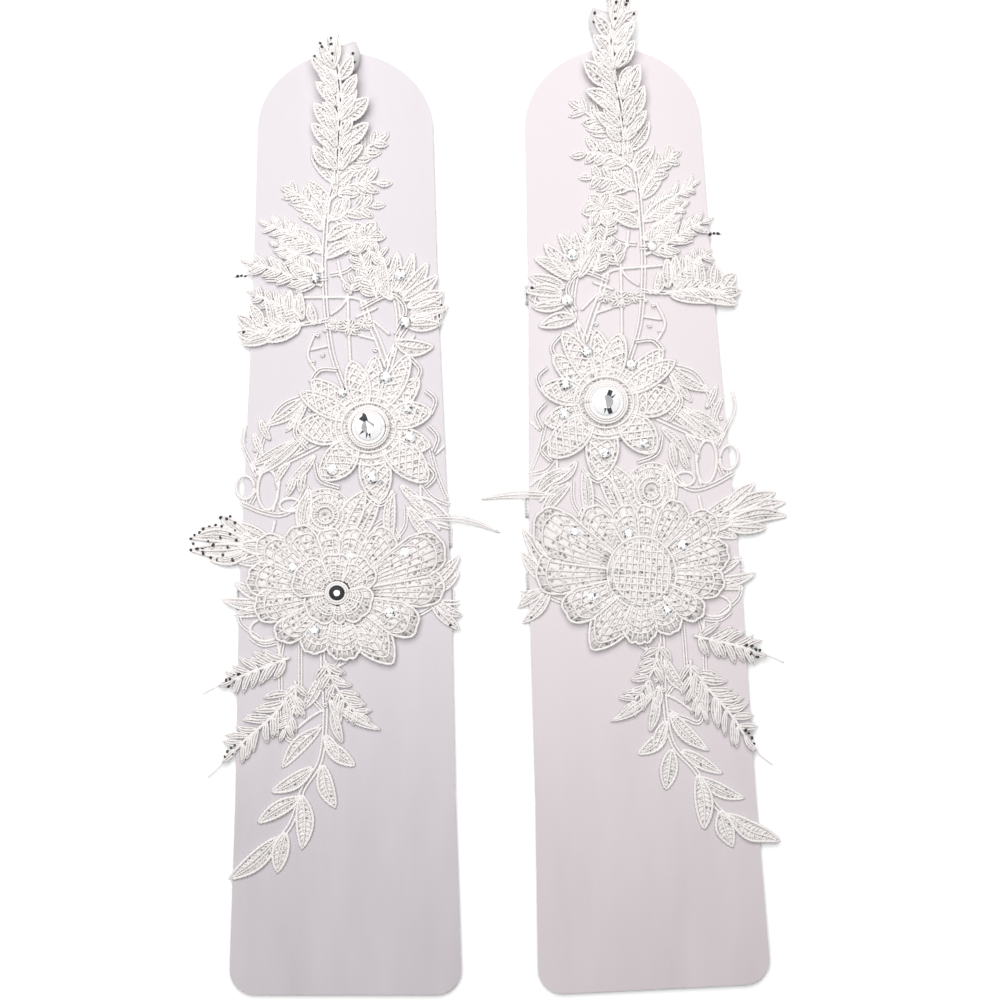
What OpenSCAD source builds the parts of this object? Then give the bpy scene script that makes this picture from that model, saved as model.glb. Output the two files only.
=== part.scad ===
// Pair of fingerless guipure lace bridal gloves, each laid over a stiff display insert.
// The pair lies flat: X across the pair, Y towards the finger tips, Z up from the table.
// The origin is the bottom centre of the whole pair. All lengths are in millimetres.

/* [Display inserts] */
// Thickness of each insert sheet
card_t = 1.5; // [1:0.1:2]
// Half width of an insert where its arched end starts
card_arch_w = 35; // [33:0.5:36]
// Height of the arched end
card_arch_h = 31; // [26:0.5:35]
// Corner radius of the wide end
card_corner_r = 10; // [4:1:16]
// Lean of the right insert
card_lean = 2.8; // [0:0.1:4]

/* [Lace] */
// Thickness of one layer of corded lace
lace_t = 0.8; // [0.6:0.1:1]
// Width of a corded stem
stem_w = 1.8; // [1.2:0.1:2.4]
// Slope of the finger tip where it rises over the finger loop
tip_slope = 8.5; // [7:0.5:10]
// Size of the right glove's lace against the left
right_size = 1.02; // [1:0.01:1.04]

/* [Bands and loop] */
// Thickness of the elastic bands and of the finger loop ribbon
band_t = 0.7; // [0.5:0.1:1]
// Width of each elastic band
band_w = 8; // [6:0.5:12]
// Width of the finger loop ribbon
loop_w = 8; // [6:0.5:9]
// Outer width of the finger loop
loop_out = 21; // [18:0.5:24]
// Outer height of the finger loop
loop_h = 6.4; // [5.5:0.1:7]

/* [Crystals] */
// Radius of the large crystal
crystal_r = 5; // [4:0.1:6]
// Radius of the small crystal
small_crystal_r = 3.2; // [2.5:0.1:4]
// Radius of a sequin
sequin_r = 2; // [1.5:0.1:2.5]

/* [Layout] */
// Distance from the pair's centre line to the left insert's axis
left_x = 57.5; // [54:0.5:70]
// Distance from the pair's centre line to the right glove's middle
right_x = 58; // [54:0.5:70]

/* [Hidden] */
$fn = 96;
gap = 0.3;
card_z = band_t + gap;
lace_z = card_z + card_t + gap;
layer_1 = lace_z + lace_t;
layer_2 = layer_1 + lace_t;
layer_3 = layer_2 + lace_t;
loop_top = lace_z + loop_h;
right_y = 10;
card_right = [56.7, 2];
centre = [-1.4, 0.4];
left = 0;
right = 1;
lace_colour = [0.96, 0.95, 0.93];
cord_colour = [0.93, 0.92, 0.90];
card_colour = [0.90, 0.87, 0.90];
satin_colour = [0.86, 0.83, 0.84];
metal_colour = [0.78, 0.78, 0.80];
crystal_colour = [0.72, 0.74, 0.78];

// A glove's own layout has X across it, from its middle, and Y towards the finger. The right glove
// is the left one mirrored, a little larger, and turned.
function turned(p, a) = [p[0] * cos(a) - p[1] * sin(a), p[0] * sin(a) + p[1] * cos(a)];
function at(s, p, a = 3) = centre + (s == right
  ? [right_x, right_y] + right_size * turned([-p[0], p[1]], a)
  : [p[0] - left_x, p[1]]);
function unit(v) = v / norm(v);
function across(v) = [-v[1], v[0]];
function way(pts, i) = unit(pts[min(i + 1, len(pts) - 1)] - pts[max(i - 1, 0)]);
function arc(r1, r2, from, to, n, c = [0, 0]) =
  [for (i = [0:n]) let (t = from + (to - from) * i / n) [c[0] + r1 * cos(t), c[1] + r2 * sin(t)]];

module place_card(s) {
  if (s == right)
    translate(centre + card_right) rotate([0, 0, card_lean]) children();
  else
    translate(centre + [-left_x, 0]) children();
}

// One leaf with its stalk: [base x, base y, tip x, tip y, width]
module leaf(s, l, a = 3) {
  b = at(s, [l[0], l[1]], a);
  d = at(s, [l[2], l[3]], a) - b;
  w = l[4];
  r = (d * d + w * w) / (4 * w);
  translate(b)
    rotate(atan2(d[1], d[0])) {
      linear_extrude(lace_t)
        intersection() {
          translate([norm(d) / 2, r - w / 2]) circle(r);
          translate([norm(d) / 2, w / 2 - r]) circle(r);
        }
      translate([-1.5, -0.6, 0]) cube([1.5 + 0.4 * norm(d), 1.2, lace_t]);
    }
}

// One pointed petal in short straight runs, with no stalk: [base x, base y, tip x, tip y, width]
module petal(s, l, a = 3) {
  b = at(s, [l[0], l[1]], a);
  d = at(s, [l[2], l[3]], a) - b;
  n = 8;
  translate(b)
    rotate(atan2(d[1], d[0]))
      linear_extrude(lace_t)
        polygon(concat(
          [for (i = [0:n]) [norm(d) * i / n, -l[4] / 2 * sin(180 * i / n)]],
          [for (i = [n - 1:-1:1]) [norm(d) * i / n, l[4] / 2 * sin(180 * i / n)]]));
}

module leaves(s, list, a = 3) {
  for (l = list) leaf(s, l, a);
}

// A corded stem of even width along a line of points
module stem(s, pts, w = stem_w, a = 3) {
  q = [for (p = pts) at(s, p, a)];
  n = len(q) - 1;
  linear_extrude(lace_t)
    polygon(concat(
      [for (i = [0:n]) q[i] + across(way(q, i)) * w / 2],
      [for (i = [n:-1:0]) q[i] - across(way(q, i)) * w / 2]));
}

// A cord bent into a closed oval
module oval(s, c, rx, ry, w = stem_w, a = 3) {
  linear_extrude(lace_t)
    difference() {
      polygon([for (p = arc(rx, ry, 0, 345, 23, c)) at(s, p, a)]);
      polygon([for (p = arc(rx - w, ry - w, 0, 345, 23, c)) at(s, p, a)]);
    }
}

module round_at(s, p, r, a = 3) {
  translate(at(s, p, a)) cylinder(r = r, h = lace_t);
}

// A disc in short straight runs
module disc(s, p, r, a = 3) {
  translate(at(s, p, a)) linear_extrude(lace_t) polygon(arc(r, r, 4, 356, 44));
}

module lace(z) {
  translate([0, 0, z]) children();
}

// Display insert: an arched sheet that widens towards the elbow end
module card_shape() {
  r = card_corner_r;
  polygon(concat(
    arc(card_arch_w, card_arch_h, 0, 180, 36, [0, 148]),
    [[-37, 80], [-42.5, -40], [-44, -120]],
    arc(r, r, 180, 270, 8, [r - 46.3, r - 198]),
    arc(r, r, 270, 360, 8, [46.3 - r, r - 198]),
    [[44, -120], [42.5, -40], [37, 80]]));
}

module card(s) {
  place_card(s)
    translate([0, 0, card_z]) linear_extrude(card_t) card_shape();
}

// An elastic band that passes behind the insert and comes up past both of its edges
module band(s, y, half, top) {
  place_card(s)
    translate([0, y + band_w / 2, 0])
      rotate([90, 0, 0])
        linear_extrude(band_w)
          difference() {
            translate([-half - band_t, 0]) square([2 * (half + band_t), top]);
            translate([-half, band_t]) square([2 * half, top]);
          }
}

function stadium(w, h) = concat(
  arc(h / 2, h / 2, -90, 90, 12, [w / 2 - h / 2, h / 2]),
  arc(h / 2, h / 2, 90, 270, 12, [h / 2 - w / 2, h / 2]));

loop_at = [-5.5, 174];
module finger_loop(s, a) {
  p = at(s, loop_at, a);
  translate([p[0], p[1] + loop_w / 2, lace_z])
    rotate([90, 0, 0])
      linear_extrude(loop_w)
        difference() {
          polygon(stadium(loop_out, loop_h));
          translate([0, band_t]) polygon(stadium(loop_out - 2 * band_t, loop_h - 2 * band_t));
        }
}

// Tip of the finger spray: it starts flat on the stem, then rises over the finger loop
tip_foot = [-3.5, 130];
tip_leaves = [[-3, 168, -13, 177, 4], [-3, 170, -10, 181, 4], [-2.5, 171, -7, 184, 4],
  [-3, 170, -4, 183, 4], [-2.5, 158, -12, 164, 4.5], [-2, 149, -11, 157, 4.5],
  [-3, 140, -12, 149, 4.5], [-1, 160, 6, 167, 4.5], [-1.5, 150, 9, 159, 4.5],
  [-2.5, 141, 9, 149, 4.5], [-2, 164, 3, 175, 4]];
module finger_tip(s, a) {
  p = at(s, tip_foot, a);
  lace(layer_1) stem(s, [[-3.7, 126], [-3.2, 134]], 3.4, a);
  translate([p[0], p[1], layer_1])
    rotate([tip_slope, 0, 0])
      translate([-p[0], -p[1], 0]) {
        leaves(s, tip_leaves, a);
        stem(s, [[-3.5, 130.5], [-2.5, 144], [-1.5, 158], [-3, 173]], 3, a);
      }
  q = at(s, loop_at + [1.5, 0], a);
  translate([q[0] - 2, q[1] - 2.5, loop_top]) cube([4, 5, 1.6]);
}

finger_line = [[-3.7, 133], [-5, 125], [-7, 118], [-8, 106], [-8.5, 94], [-8, 80], [-6.5, 66], [-4.5, 56], [0, 44]];
finger_leaves = [[-4.5, 130, -13, 137, 4.5], [4, 136, 11, 136, 3.5], [4, 137, 8, 146, 4], [8, 140, 17, 139, 4],
  [8, 141, 15, 146, 4], [-1, 124, 5, 131, 4], [5, 126, 11, 130, 3.5], [10, 125, 20, 127, 4],
  [8, 125, 17, 120, 4], [1, 118, 11, 115, 4], [3, 118, 18, 117, 4], [-17, 123, -27, 127, 4],
  [-16, 122, -27, 122, 4], [-13, 120, -22, 117, 4], [-16, 122, -17, 131, 4], [-13, 119, -24, 113, 3.5],
  [-25, 109, -36, 112, 4], [-20, 106, -28, 113, 4], [-25, 108, -34, 106, 4], [-24, 107, -35, 103, 4],
  [-7, 104, 3, 110, 4.5], [-8, 94, 2, 100, 4.5]];
module finger_stem(s, a) {
  lace(lace_z) {
    stem(s, finger_line, 3, a);
    leaves(s, finger_leaves, a);
    stem(s, [[-4, 129], [4.5, 137], [9, 141]], stem_w, a);
    stem(s, [[-7, 117], [0, 124], [12, 125.5]], stem_w, a);
    stem(s, [[-8, 111], [2, 118]], stem_w, a);
    stem(s, [[-8, 113], [-14, 120], [-18, 124]], stem_w, a);
    stem(s, [[-8.5, 100], [-18, 105], [-27, 109]], stem_w, a);
    stem(s, [[-8, 102], [9, 107]], stem_w, a);
    leaves(s, [for (t = [0:60:300]) [9 + 1.5 * cos(t), 106 + 1.5 * sin(t), 9 + 9 * cos(t), 106 + 7 * sin(t), 4]], a);
  }
}

knuckle_leaves = [[-22, 88, -39, 98, 5], [-28, 89, -42, 94, 4.5], [-30, 88, -45, 89, 5], [-24, 87, -38, 83, 4.5],
  [-14, 88, -24, 94, 4.5], [-20, 70, -21, 83, 4], [-24, 70, -26, 83, 4], [-28, 69, -31, 82, 4],
  [-27, 69, -42, 74, 5.5], [-30, 67, -42, 69, 4.5], [-28, 67, -42, 63, 5], [-20, 69, -32, 62, 4.5]];
fan_leaves = [[17, 82, 15, 97, 4.5], [18, 83, 20, 99, 4.5], [19, 83, 25, 98, 4.5], [20, 83, 29, 95, 4.5],
  [21, 82, 35, 93, 5], [22, 79, 38, 84, 5], [24, 77, 41, 76, 5.5], [24, 75, 37, 70, 5], [20, 66, 34, 62, 5]];
module knuckle_sprays(s, a) {
  lace(layer_1) {
    stem(s, [[-7, 88.5], [-20, 88], [-32, 88]], stem_w, a);
    stem(s, [[-6.5, 72], [-18, 70], [-30, 68]], stem_w, a);
    leaves(s, knuckle_leaves, a);
  }
  lace(layer_1) {
    stem(s, [[6, 76.5], [18, 82], [24, 76], [20, 66]], stem_w, a);
    leaves(s, fan_leaves, a);
  }
}

module bride_net(s, a) {
  lace(lace_z)
    difference() {
      union() {
        stem(s, [[-17, 81], [2, 81], [8, 79]], 1.6, a);
        stem(s, [[-17, 72], [-17, 81.5]], 1.6, a);
        stem(s, [[1, 84], [1, 70], [2, 50]], 1.6, a);
        stem(s, [[7, 80], [8, 72], [14, 62], [16, 48]], 2.6, a);
        stem(s, [[19, 84], [21, 76], [21, 66], [17, 50]], 1.8, a);
        stem(s, [[7, 79], [19, 82], [29, 80], [29, 73], [21, 73]], 1.6, a);
        for (t = [15:60:315]) petal(s, [0.4 * cos(t), 68 + 0.4 * sin(t), 5 * cos(t), 68 + 5 * sin(t), 2.6], a);
      }
      stem(s, finger_line, 3, a);
    }
}

star = [9.5, 29];
star_tips = [[-19, 29], [-18, 43], [-13.5, 48], [2.5, 55.5], [12, 57.5], [25.5, 58], [29.5, 48.5],
  [34.5, 35.5], [34, 21.5], [33, 7.5], [13.5, -1], [-9.5, 8.5]];
function polar(c, r, t) = c + [r * cos(t), r * sin(t)];
function angle_to(i) = let (d = star_tips[i % 12] - star) atan2(d[1], d[0]);
function gap_after(i) = let (g = angle_to(i + 12) - angle_to(i + 13)) g < 0 ? g + 360 : g;
function star_petal(i) =
  let (
    t = angle_to(i),
    r = norm(star_tips[i] - star),
    before = min(14, 0.45 * gap_after(i - 1)),
    after = min(14, 0.45 * gap_after(i)))
  [polar(star, 0.62 * r, t + before), polar(star, 0.86 * r, t + before / 2), star_tips[i],
   polar(star, 0.86 * r, t - after / 2), polar(star, 0.62 * r, t - after),
   polar(star, 15, t - gap_after(i) / 2)];
module star_flower(s, a) {
  lace(layer_1)
    linear_extrude(lace_t)
      polygon([for (i = [0:11]) for (p = star_petal(i)) at(s, p, a)]);
  lace(layer_2) disc(s, star, 12, a);
}

// A cup with a rolled rim, and the stone that sits in it
module setting(s, p, z, r, a) {
  q = at(s, p, a);
  translate([q[0], q[1], z])
    rotate_extrude()
      polygon([[0, 0], [r + 2.4, 0], [r + 2.4, 0.5], [r + 1.2, 1.8], [r + 0.2, 1.8], [r + 0.2, 0.6], [0, 0.6]]);
}

module stone(s, p, z, r, a) {
  q = at(s, p, a);
  translate([q[0], q[1], z + 0.6])
    rotate_extrude()
      polygon([[0, 0], [0.7 * r, 0], [r, 0.2 * r], [r, 0.34 * r], [0.62 * r, 0.66 * r], [0, 0.66 * r]]);
}

module side_leaves(s, a) {
  lace(lace_z) {
    leaf(s, [-14, 42, -31, 32, 6], a);
    leaf(s, [-14, 45, -38, 14, 6], a);
    leaf(s, [-15, 28, -37, 9, 6], a);
    leaf(s, [-12, 27, -30, 12, 5], a);
    oval(s, [-31, 4], 4.5, 8.5, stem_w, a);
    oval(s, [-40, 5], 4, 5, stem_w, a);
    stem(s, [[-35.5, 12], [-30, 12.5], [-20, 17], [-10, 22]], 2.2, a);
    stem(s, [[-42, -1], [-34, -4.5], [-26, -6], [-19, -3]], stem_w, a);
    stem(s, [[-38, -2], [-35, 4]], stem_w, a);
    stem(s, [[-40, 1], [-40, -2]], stem_w, a);
    stem(s, [[-38, 15], [-35, 9]], stem_w, a);
  }
}

module rosebud(s, a) {
  lace(lace_z) {
    round_at(s, [-9, -7], 9, a);
    leaf(s, [-9, 0, -8, 15, 6], a);
    leaf(s, [4, -18, -2, 1, 6], a);
    leaf(s, [4, -18, 9, 4, 6], a);
    leaf(s, [18, -18, 20, 10, 5], a);
    stem(s, [[-2, -14], [6, -17], [19, -17]], 3, a);
  }
}

module outer_cluster(s, a) {
  lace(lace_z) {
    leaves(s, [[-36, -16, -50, -6, 5], [-38, -15, -58, -11, 5], [-38, -17, -61, -15, 5], [-37, -19, -62, -20, 5],
      [-36, -20, -54, -24, 4.5]], a);
    leaf(s, [-26, -17, -47, -15, 9], a);
  }
}

peony_petals = [[-6, -38, -37, -27, 13], [-6, -36, -34, -16, 14], [-4, -34, -20, -12, 15], [-3, -33, -6, -11, 15],
  [0, -33, 9, -11, 15], [4, -34, 22, -13, 15], [8, -36, 40, -15, 17], [10, -38, 42, -25, 15],
  [-8, -42, -34, -40, 9]];
module peony_back(s, a) {
  lace(layer_1) {
    leaves(s, peony_petals, a);
    round_at(s, [-2, -37], 15, a);
    round_at(s, [31, -20], 10, a);
  }
}

front_petals = [[8, -34, 27, -59, 14], [4, -42, 14, -60, 12], [0, -44, 2, -63, 12], [-5, -44, -10, -62, 12],
  [-9, -42, -24, -58, 13], [-12, -38, -32, -44, 9]];
module peony_front(s, a) {
  lace(layer_2) {
    leaves(s, front_petals, a);
    round_at(s, [-3, -39], 13, a);
  }
  lace(layer_3) round_at(s, [-3, -38], 9, a);
}

// Leaves and brides that reach over both edges at the wrist, with one slim leaf beyond the inner one
module edge_leaves(s, a, slim) {
  lace(lace_z) {
    leaf(s, [31, -37, 45.5, -23, 6], a);
    leaf(s, [34, -40, 45, -51, 6], a);
    stem(s, [[24, -34], [30, -36.5], [37, -40.5], [46, -41]], 2.4, a);
    stem(s, [[24, -47], [30, -45.5], [36, -42]], 1.8, a);
  }
  lace(lace_z) {
    leaf(s, [-27, -41, -49, -40, 5.5], a);
    leaf(s, [-29, -40, -44, -33, 5], a);
    oval(s, [-32, -52], 6.5, 5, stem_w, a);
    stem(s, [[-28, -41], [-32, -44], [-33, -48]], stem_w, a);
    stem(s, [[-26.5, -51], [-20, -49]], stem_w, a);
  }
  lace(lace_z) {
    leaf(s, [29, -8, 62, -13, 4], slim);
    leaf(s, [24, 3, 39, -9, 5], a);
    leaf(s, [25, -3, 38, -17, 5], a);
  }
}

fern_leaves = [[-26, -65, -30, -56, 4], [-32, -67, -37, -60, 4], [-38, -69, -44, -63, 4], [-30, -66, -31, -76, 4],
  [-36, -68, -39, -77, 4], [-41, -70, -53, -75, 4.5]];
low_fern_leaves = [[-28, -84, -38, -84, 4], [-33, -89, -45, -90, 4], [-38, -94, -48, -97, 4], [-29, -85, -32, -105, 4.5],
  [-34, -90, -40, -106, 4.5], [-41, -97, -52, -108, 4.5]];
third_fern_leaves = [[-7, -68, 1, -67, 3.5], [-6, -72, 4, -73, 3.5], [-5, -76, 6, -78, 3.5], [-4, -80, 7, -85, 3.5],
  [-4, -82, 14, -92, 4.5], [-5, -84, -1, -98, 4.5]];
module hem_ferns(s, a) {
  lace(layer_1) {
    stem(s, [[-22, -65], [-32, -67], [-44, -71]], stem_w, a);
    leaves(s, fern_leaves, a);
  }
  lace(layer_1) {
    stem(s, [[-23, -80], [-30, -86], [-38, -94], [-44, -100]], stem_w, a);
    leaves(s, low_fern_leaves, a);
  }
  lace(layer_1) {
    stem(s, [[-9, -66.5], [-6, -74], [-4, -84]], 2.4, a);
    leaves(s, third_fern_leaves, a);
  }
}

hem_leaves = [[-10, -91, -25, -106, 5], [-9, -96, 4, -106, 6], [-12, -106, -28, -116, 5], [-10, -106, -4, -123, 6],
  [-18, -119, -34, -129, 5.5], [-17, -118, -17, -139, 6.5], [-23.5, -133, -27, -149, 6], [-27, -135, -46, -151, 7],
  [-9.5, -70, -17, -84, 4]];
module hem_spray(s, a) {
  lace(lace_z) {
    stem(s, [[-9, -54], [-9, -66], [-8, -86], [-10, -104], [-17, -116], [-22, -130], [-29, -138]], 2.6, a);
    leaves(s, hem_leaves, a);
    stem(s, [[-18, -54], [-18, -76]], stem_w, a);
    stem(s, [[-24, -54], [-26, -66], [-24, -94], [-16, -94], [-9, -90]], stem_w, a);
    stem(s, [[-24, -80], [-18, -76], [-9, -84]], stem_w, a);
  }
}

sequin_spots = [[22, 90, 1], [-12, 88.5, 1], [24, 71, 1], [-5, 12, 1], [25, 36.5, 1], [26, 25, 1], [16, 49, 1],
  [-1, 43, 1], [11, 9, 1], [-21, -27, 1], [2, -22, 1], [24, -21, 1], [18, -45, 2], [-12, -52, 2]];
module sequins(s, a) {
  for (q = sequin_spots) {
    p = at(s, [q[0], q[1]], a);
    translate([p[0], p[1], layer_1 + q[2] * lace_t]) cylinder(r = sequin_r, h = 0.4);
  }
}

module left_card() { color(card_colour) card(left); }
module left_palm_band() { color(satin_colour) band(left, 74, 37.9, layer_1); }
module left_wrist_band() { color(satin_colour) band(left, -15, 42.1, lace_z); }
module left_forearm_band() { color(satin_colour) band(left, -40, 43.1, lace_z); }
module left_finger_loop() { color(satin_colour) finger_loop(left, 0); }
module left_finger_tip() { color(lace_colour) finger_tip(left, 0); }
module left_finger_stem() { color(lace_colour) finger_stem(left, 0); }
module left_knuckle_sprays() { color(lace_colour) knuckle_sprays(left, 0); }
module left_bride_net() { color(cord_colour) bride_net(left, 0); }
module left_star_flower() { color(lace_colour) star_flower(left, 0); }
module left_crystal_setting() { color(metal_colour) setting(left, star, layer_3, crystal_r, 0); }
module left_large_crystal() { color(crystal_colour) stone(left, star, layer_3, crystal_r, 0); }
module left_side_leaves() { color(lace_colour) side_leaves(left, 0); }
module left_rosebud() { color(lace_colour) rosebud(left, 0); }
module left_outer_cluster() { color(lace_colour) outer_cluster(left, 0); }
module left_peony_back() { color(cord_colour) peony_back(left, 0); }
module left_peony_front() { color(lace_colour) peony_front(left, 0); }
module left_small_setting() { color(metal_colour) setting(left, [-3, -37], layer_3 + lace_t, small_crystal_r, 0); }
module left_small_crystal() { color(crystal_colour) stone(left, [-3, -37], layer_3 + lace_t, small_crystal_r, 0); }
module left_edge_leaves() { color(lace_colour) edge_leaves(left, 0, 0); }
module left_hem_spray() { color(lace_colour) hem_spray(left, 0); }
module left_hem_ferns() { color(cord_colour) hem_ferns(left, 0); }
module left_sequins() { color(metal_colour) sequins(left, 0); }

module right_card() { color(card_colour) card(right); }
module right_palm_band() { color(satin_colour) band(right, 82, 37.9, layer_1); }
module right_wrist_band() { color(satin_colour) band(right, -3, 42.1, lace_z); }
module right_forearm_band() { color(satin_colour) band(right, -33, 43.1, lace_z); }
module right_finger_loop() { color(satin_colour) finger_loop(right, 4); }
module right_finger_tip() { color(lace_colour) finger_tip(right, 4); }
module right_finger_stem() { color(lace_colour) finger_stem(right, 4); }
module right_knuckle_sprays() { color(lace_colour) knuckle_sprays(right, 4); }
module right_bride_net() { color(cord_colour) bride_net(right, 4); }
module right_star_flower() { color(lace_colour) star_flower(right, 3); }
module right_crystal_setting() { color(metal_colour) setting(right, star, layer_3, crystal_r, 3); }
module right_large_crystal() { color(crystal_colour) stone(right, star, layer_3, crystal_r, 3); }
module right_side_leaves() { color(lace_colour) side_leaves(right, 3); }
module right_rosebud() { color(lace_colour) rosebud(right, 3); }
module right_outer_cluster() { color(lace_colour) outer_cluster(right, 3); }
module right_peony_back() { color(cord_colour) peony_back(right, 3); }
module right_peony_front() { color(lace_colour) peony_front(right, 3); }
module right_edge_leaves() { color(lace_colour) edge_leaves(right, 3, -2); }
module right_hem_spray() { color(lace_colour) hem_spray(right, 4); }
module right_hem_ferns() { color(cord_colour) hem_ferns(right, 3); }
module right_sequins() { color(metal_colour) sequins(right, 3); }

left_card();
left_palm_band();
left_wrist_band();
left_forearm_band();
left_finger_loop();
left_finger_tip();
left_finger_stem();
left_knuckle_sprays();
left_bride_net();
left_star_flower();
left_crystal_setting();
left_large_crystal();
left_side_leaves();
left_rosebud();
left_outer_cluster();
left_peony_back();
left_peony_front();
left_small_setting();
left_small_crystal();
left_edge_leaves();
left_hem_spray();
left_hem_ferns();
left_sequins();
right_card();
right_palm_band();
right_wrist_band();
right_forearm_band();
right_finger_loop();
right_finger_tip();
right_finger_stem();
right_knuckle_sprays();
right_bride_net();
right_star_flower();
right_crystal_setting();
right_large_crystal();
right_side_leaves();
right_rosebud();
right_outer_cluster();
right_peony_back();
right_peony_front();
right_edge_leaves();
right_hem_spray();
right_hem_ferns();
right_sequins();
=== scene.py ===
import math
import random
import bpy
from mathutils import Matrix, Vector


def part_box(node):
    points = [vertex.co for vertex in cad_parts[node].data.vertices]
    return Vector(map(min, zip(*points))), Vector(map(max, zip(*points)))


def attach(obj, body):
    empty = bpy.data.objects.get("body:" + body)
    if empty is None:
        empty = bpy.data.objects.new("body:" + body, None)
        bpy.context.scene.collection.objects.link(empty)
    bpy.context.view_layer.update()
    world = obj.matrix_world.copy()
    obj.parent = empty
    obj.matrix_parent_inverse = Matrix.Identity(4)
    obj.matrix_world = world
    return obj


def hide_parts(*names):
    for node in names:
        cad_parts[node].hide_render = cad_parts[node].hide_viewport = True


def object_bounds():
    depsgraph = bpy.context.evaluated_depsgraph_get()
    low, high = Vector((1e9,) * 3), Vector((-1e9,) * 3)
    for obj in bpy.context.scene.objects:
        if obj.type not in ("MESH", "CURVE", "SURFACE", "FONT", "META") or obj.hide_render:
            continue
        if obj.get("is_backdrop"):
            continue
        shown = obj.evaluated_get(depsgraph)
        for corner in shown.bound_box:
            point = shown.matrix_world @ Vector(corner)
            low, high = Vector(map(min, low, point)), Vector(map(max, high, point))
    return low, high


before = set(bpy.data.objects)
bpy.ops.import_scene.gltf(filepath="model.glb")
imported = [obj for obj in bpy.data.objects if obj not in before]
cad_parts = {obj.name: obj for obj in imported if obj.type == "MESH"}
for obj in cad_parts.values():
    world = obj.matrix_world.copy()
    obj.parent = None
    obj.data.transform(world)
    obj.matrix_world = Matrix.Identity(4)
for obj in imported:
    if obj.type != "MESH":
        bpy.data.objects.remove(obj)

cadLow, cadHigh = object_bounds()
mm = 0.001
sides = ("left", "right")
bpy.ops.object.select_all(action="DESELECT")

# Where things are
# A glove's own layout is in millimetres: u across it, v towards the finger, z up from the table.
# The right glove is the left one mirrored, a little larger and turned.
layout = {"heartU": 9.5, "heartV": 29, "rightSize": 1.02, "rightTurn": 3, "insertLean": 2.8,
    "shiftSoftness": 90, "shiftPower": 1.6}


def middle(node):
    low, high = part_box(node)
    return (low + high) / 2 / mm


heart = {s: middle(s + "_crystal_setting") for s in sides}
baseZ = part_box("left_finger_stem")[0].z / mm
layer1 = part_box("left_knuckle_sprays")[0].z / mm
layer2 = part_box("left_peony_front")[0].z / mm
insertMiddle = {s: middle(s + "_card") for s in sides}

# How the right glove's lace lies against the mirrored left one: u, v, then the shift in x and y
lieOfRight = [(-3, 182, -3, 3), (-45, -151, 3, 6), (-17, -139, 3, -1), (-27, -149, 4, 2), (-53, -75, -2, 1),
    (-52, -108, -7, -6), (-62, -20, -3, 1), (-44, 89, -6, 3), (-42, 65, 3, 3), (35, 93, 3, -3),
    (62, -13, 1, 7), (44, -51, -1, -4), (26, -58, -1, -2), (-38, -28, -4, -2), (13, -91, 0, -4),
    (9.5, 29, 0, 0), (-5, 120, 0, 0), (-6, 70, 0, 0)]


# The insert's outline, from its own middle: half widths up to the arch, and the arch
outline = {"middleV": 9.5, "archFrom": 148, "archHalf": 35, "archRise": 31,
    "halves": [(-198, 46.3), (-120, 44), (-40, 42.5), (80, 37), (148, 35)]}
# Lace past the insert's edge falls towards the table, but the finger tip stays up
droop = {"from": 1.5, "reach": 16, "fall": 2.1, "lowest": 1.1, "fingerFrom": 165}


def smooth(t):
    t = min(1, max(0, t))
    return t * t * (3 - 2 * t)


def between(t, a, b):
    return a + (b - a) * t


def turned(x, y, degrees):
    c, s = math.cos(math.radians(degrees)), math.sin(math.radians(degrees))
    return x * c - y * s, x * s + y * c


def overEdge(side, x, y):
    # Millimetres beyond the insert's edge, or below nought on it
    m = insertMiddle[side]
    u, v = x - m.x, y - m.y
    if side == "right":
        u, v = turned(u, v, -layout["insertLean"])
    v -= outline["middleV"]
    if v > outline["archFrom"]:
        arch = math.hypot(u / outline["archHalf"], (v - outline["archFrom"]) / outline["archRise"])
        return (arch - 1) * outline["archRise"]
    marks = outline["halves"]
    half = marks[0][1]
    for (v0, h0), (v1, h1) in zip(marks, marks[1:]):
        if v0 <= v <= v1:
            half = between((v - v0) / (v1 - v0), h0, h1)
    return abs(u) - half


def place(side, u, v, z, hang=True):
    du, dv = u - layout["heartU"], v - layout["heartV"]
    if side == "left":
        x, y = heart["left"].x + du, heart["left"].y + dv
    else:
        x, y = turned(-du * layout["rightSize"], dv * layout["rightSize"], layout["rightTurn"])
        total, sx, sy = 1e-9, 0, 0
        for au, av, ax, ay in lieOfRight:
            w = 1 / ((u - au) ** 2 + (v - av) ** 2 + layout["shiftSoftness"]) ** layout["shiftPower"]
            total, sx, sy = total + w, sx + w * ax, sy + w * ay
        x, y = heart["right"].x + x + sx / total, heart["right"].y + y + sy / total
    if hang:
        over = overEdge(side, x, y) + droop["from"]
        if over > 0 and v < droop["fingerFrom"]:
            z = between(smooth(over / droop["reach"]), z, max(droop["lowest"], z - droop["fall"]))
    return Vector((x, y, z)) * mm


# Materials
def newMaterial(name):
    material = bpy.data.materials.new(name)
    material.use_nodes = True
    tree = material.node_tree
    shader = tree.nodes["Principled BSDF"]
    return material, tree, shader


def link(tree, a, outName, b, inName):
    tree.links.new(a.outputs[outName], b.inputs[inName])


def addNode(tree, kind, **settings):
    node = tree.nodes.new(kind)
    for key, value in settings.items():
        if key in node.inputs:
            node.inputs[key].default_value = value
        else:
            setattr(node, key, value)
    return node


def ramp(tree, stops):
    node = tree.nodes.new("ShaderNodeValToRGB")
    for i, (at, colour) in enumerate(stops):
        element = node.color_ramp.elements[i] if i < 2 else node.color_ramp.elements.new(at)
        element.position = at
        element.color = (*colour, 1)
    return node


def dial(shader, values):
    for key, value in values.items():
        shader.inputs[key].default_value = value


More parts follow.
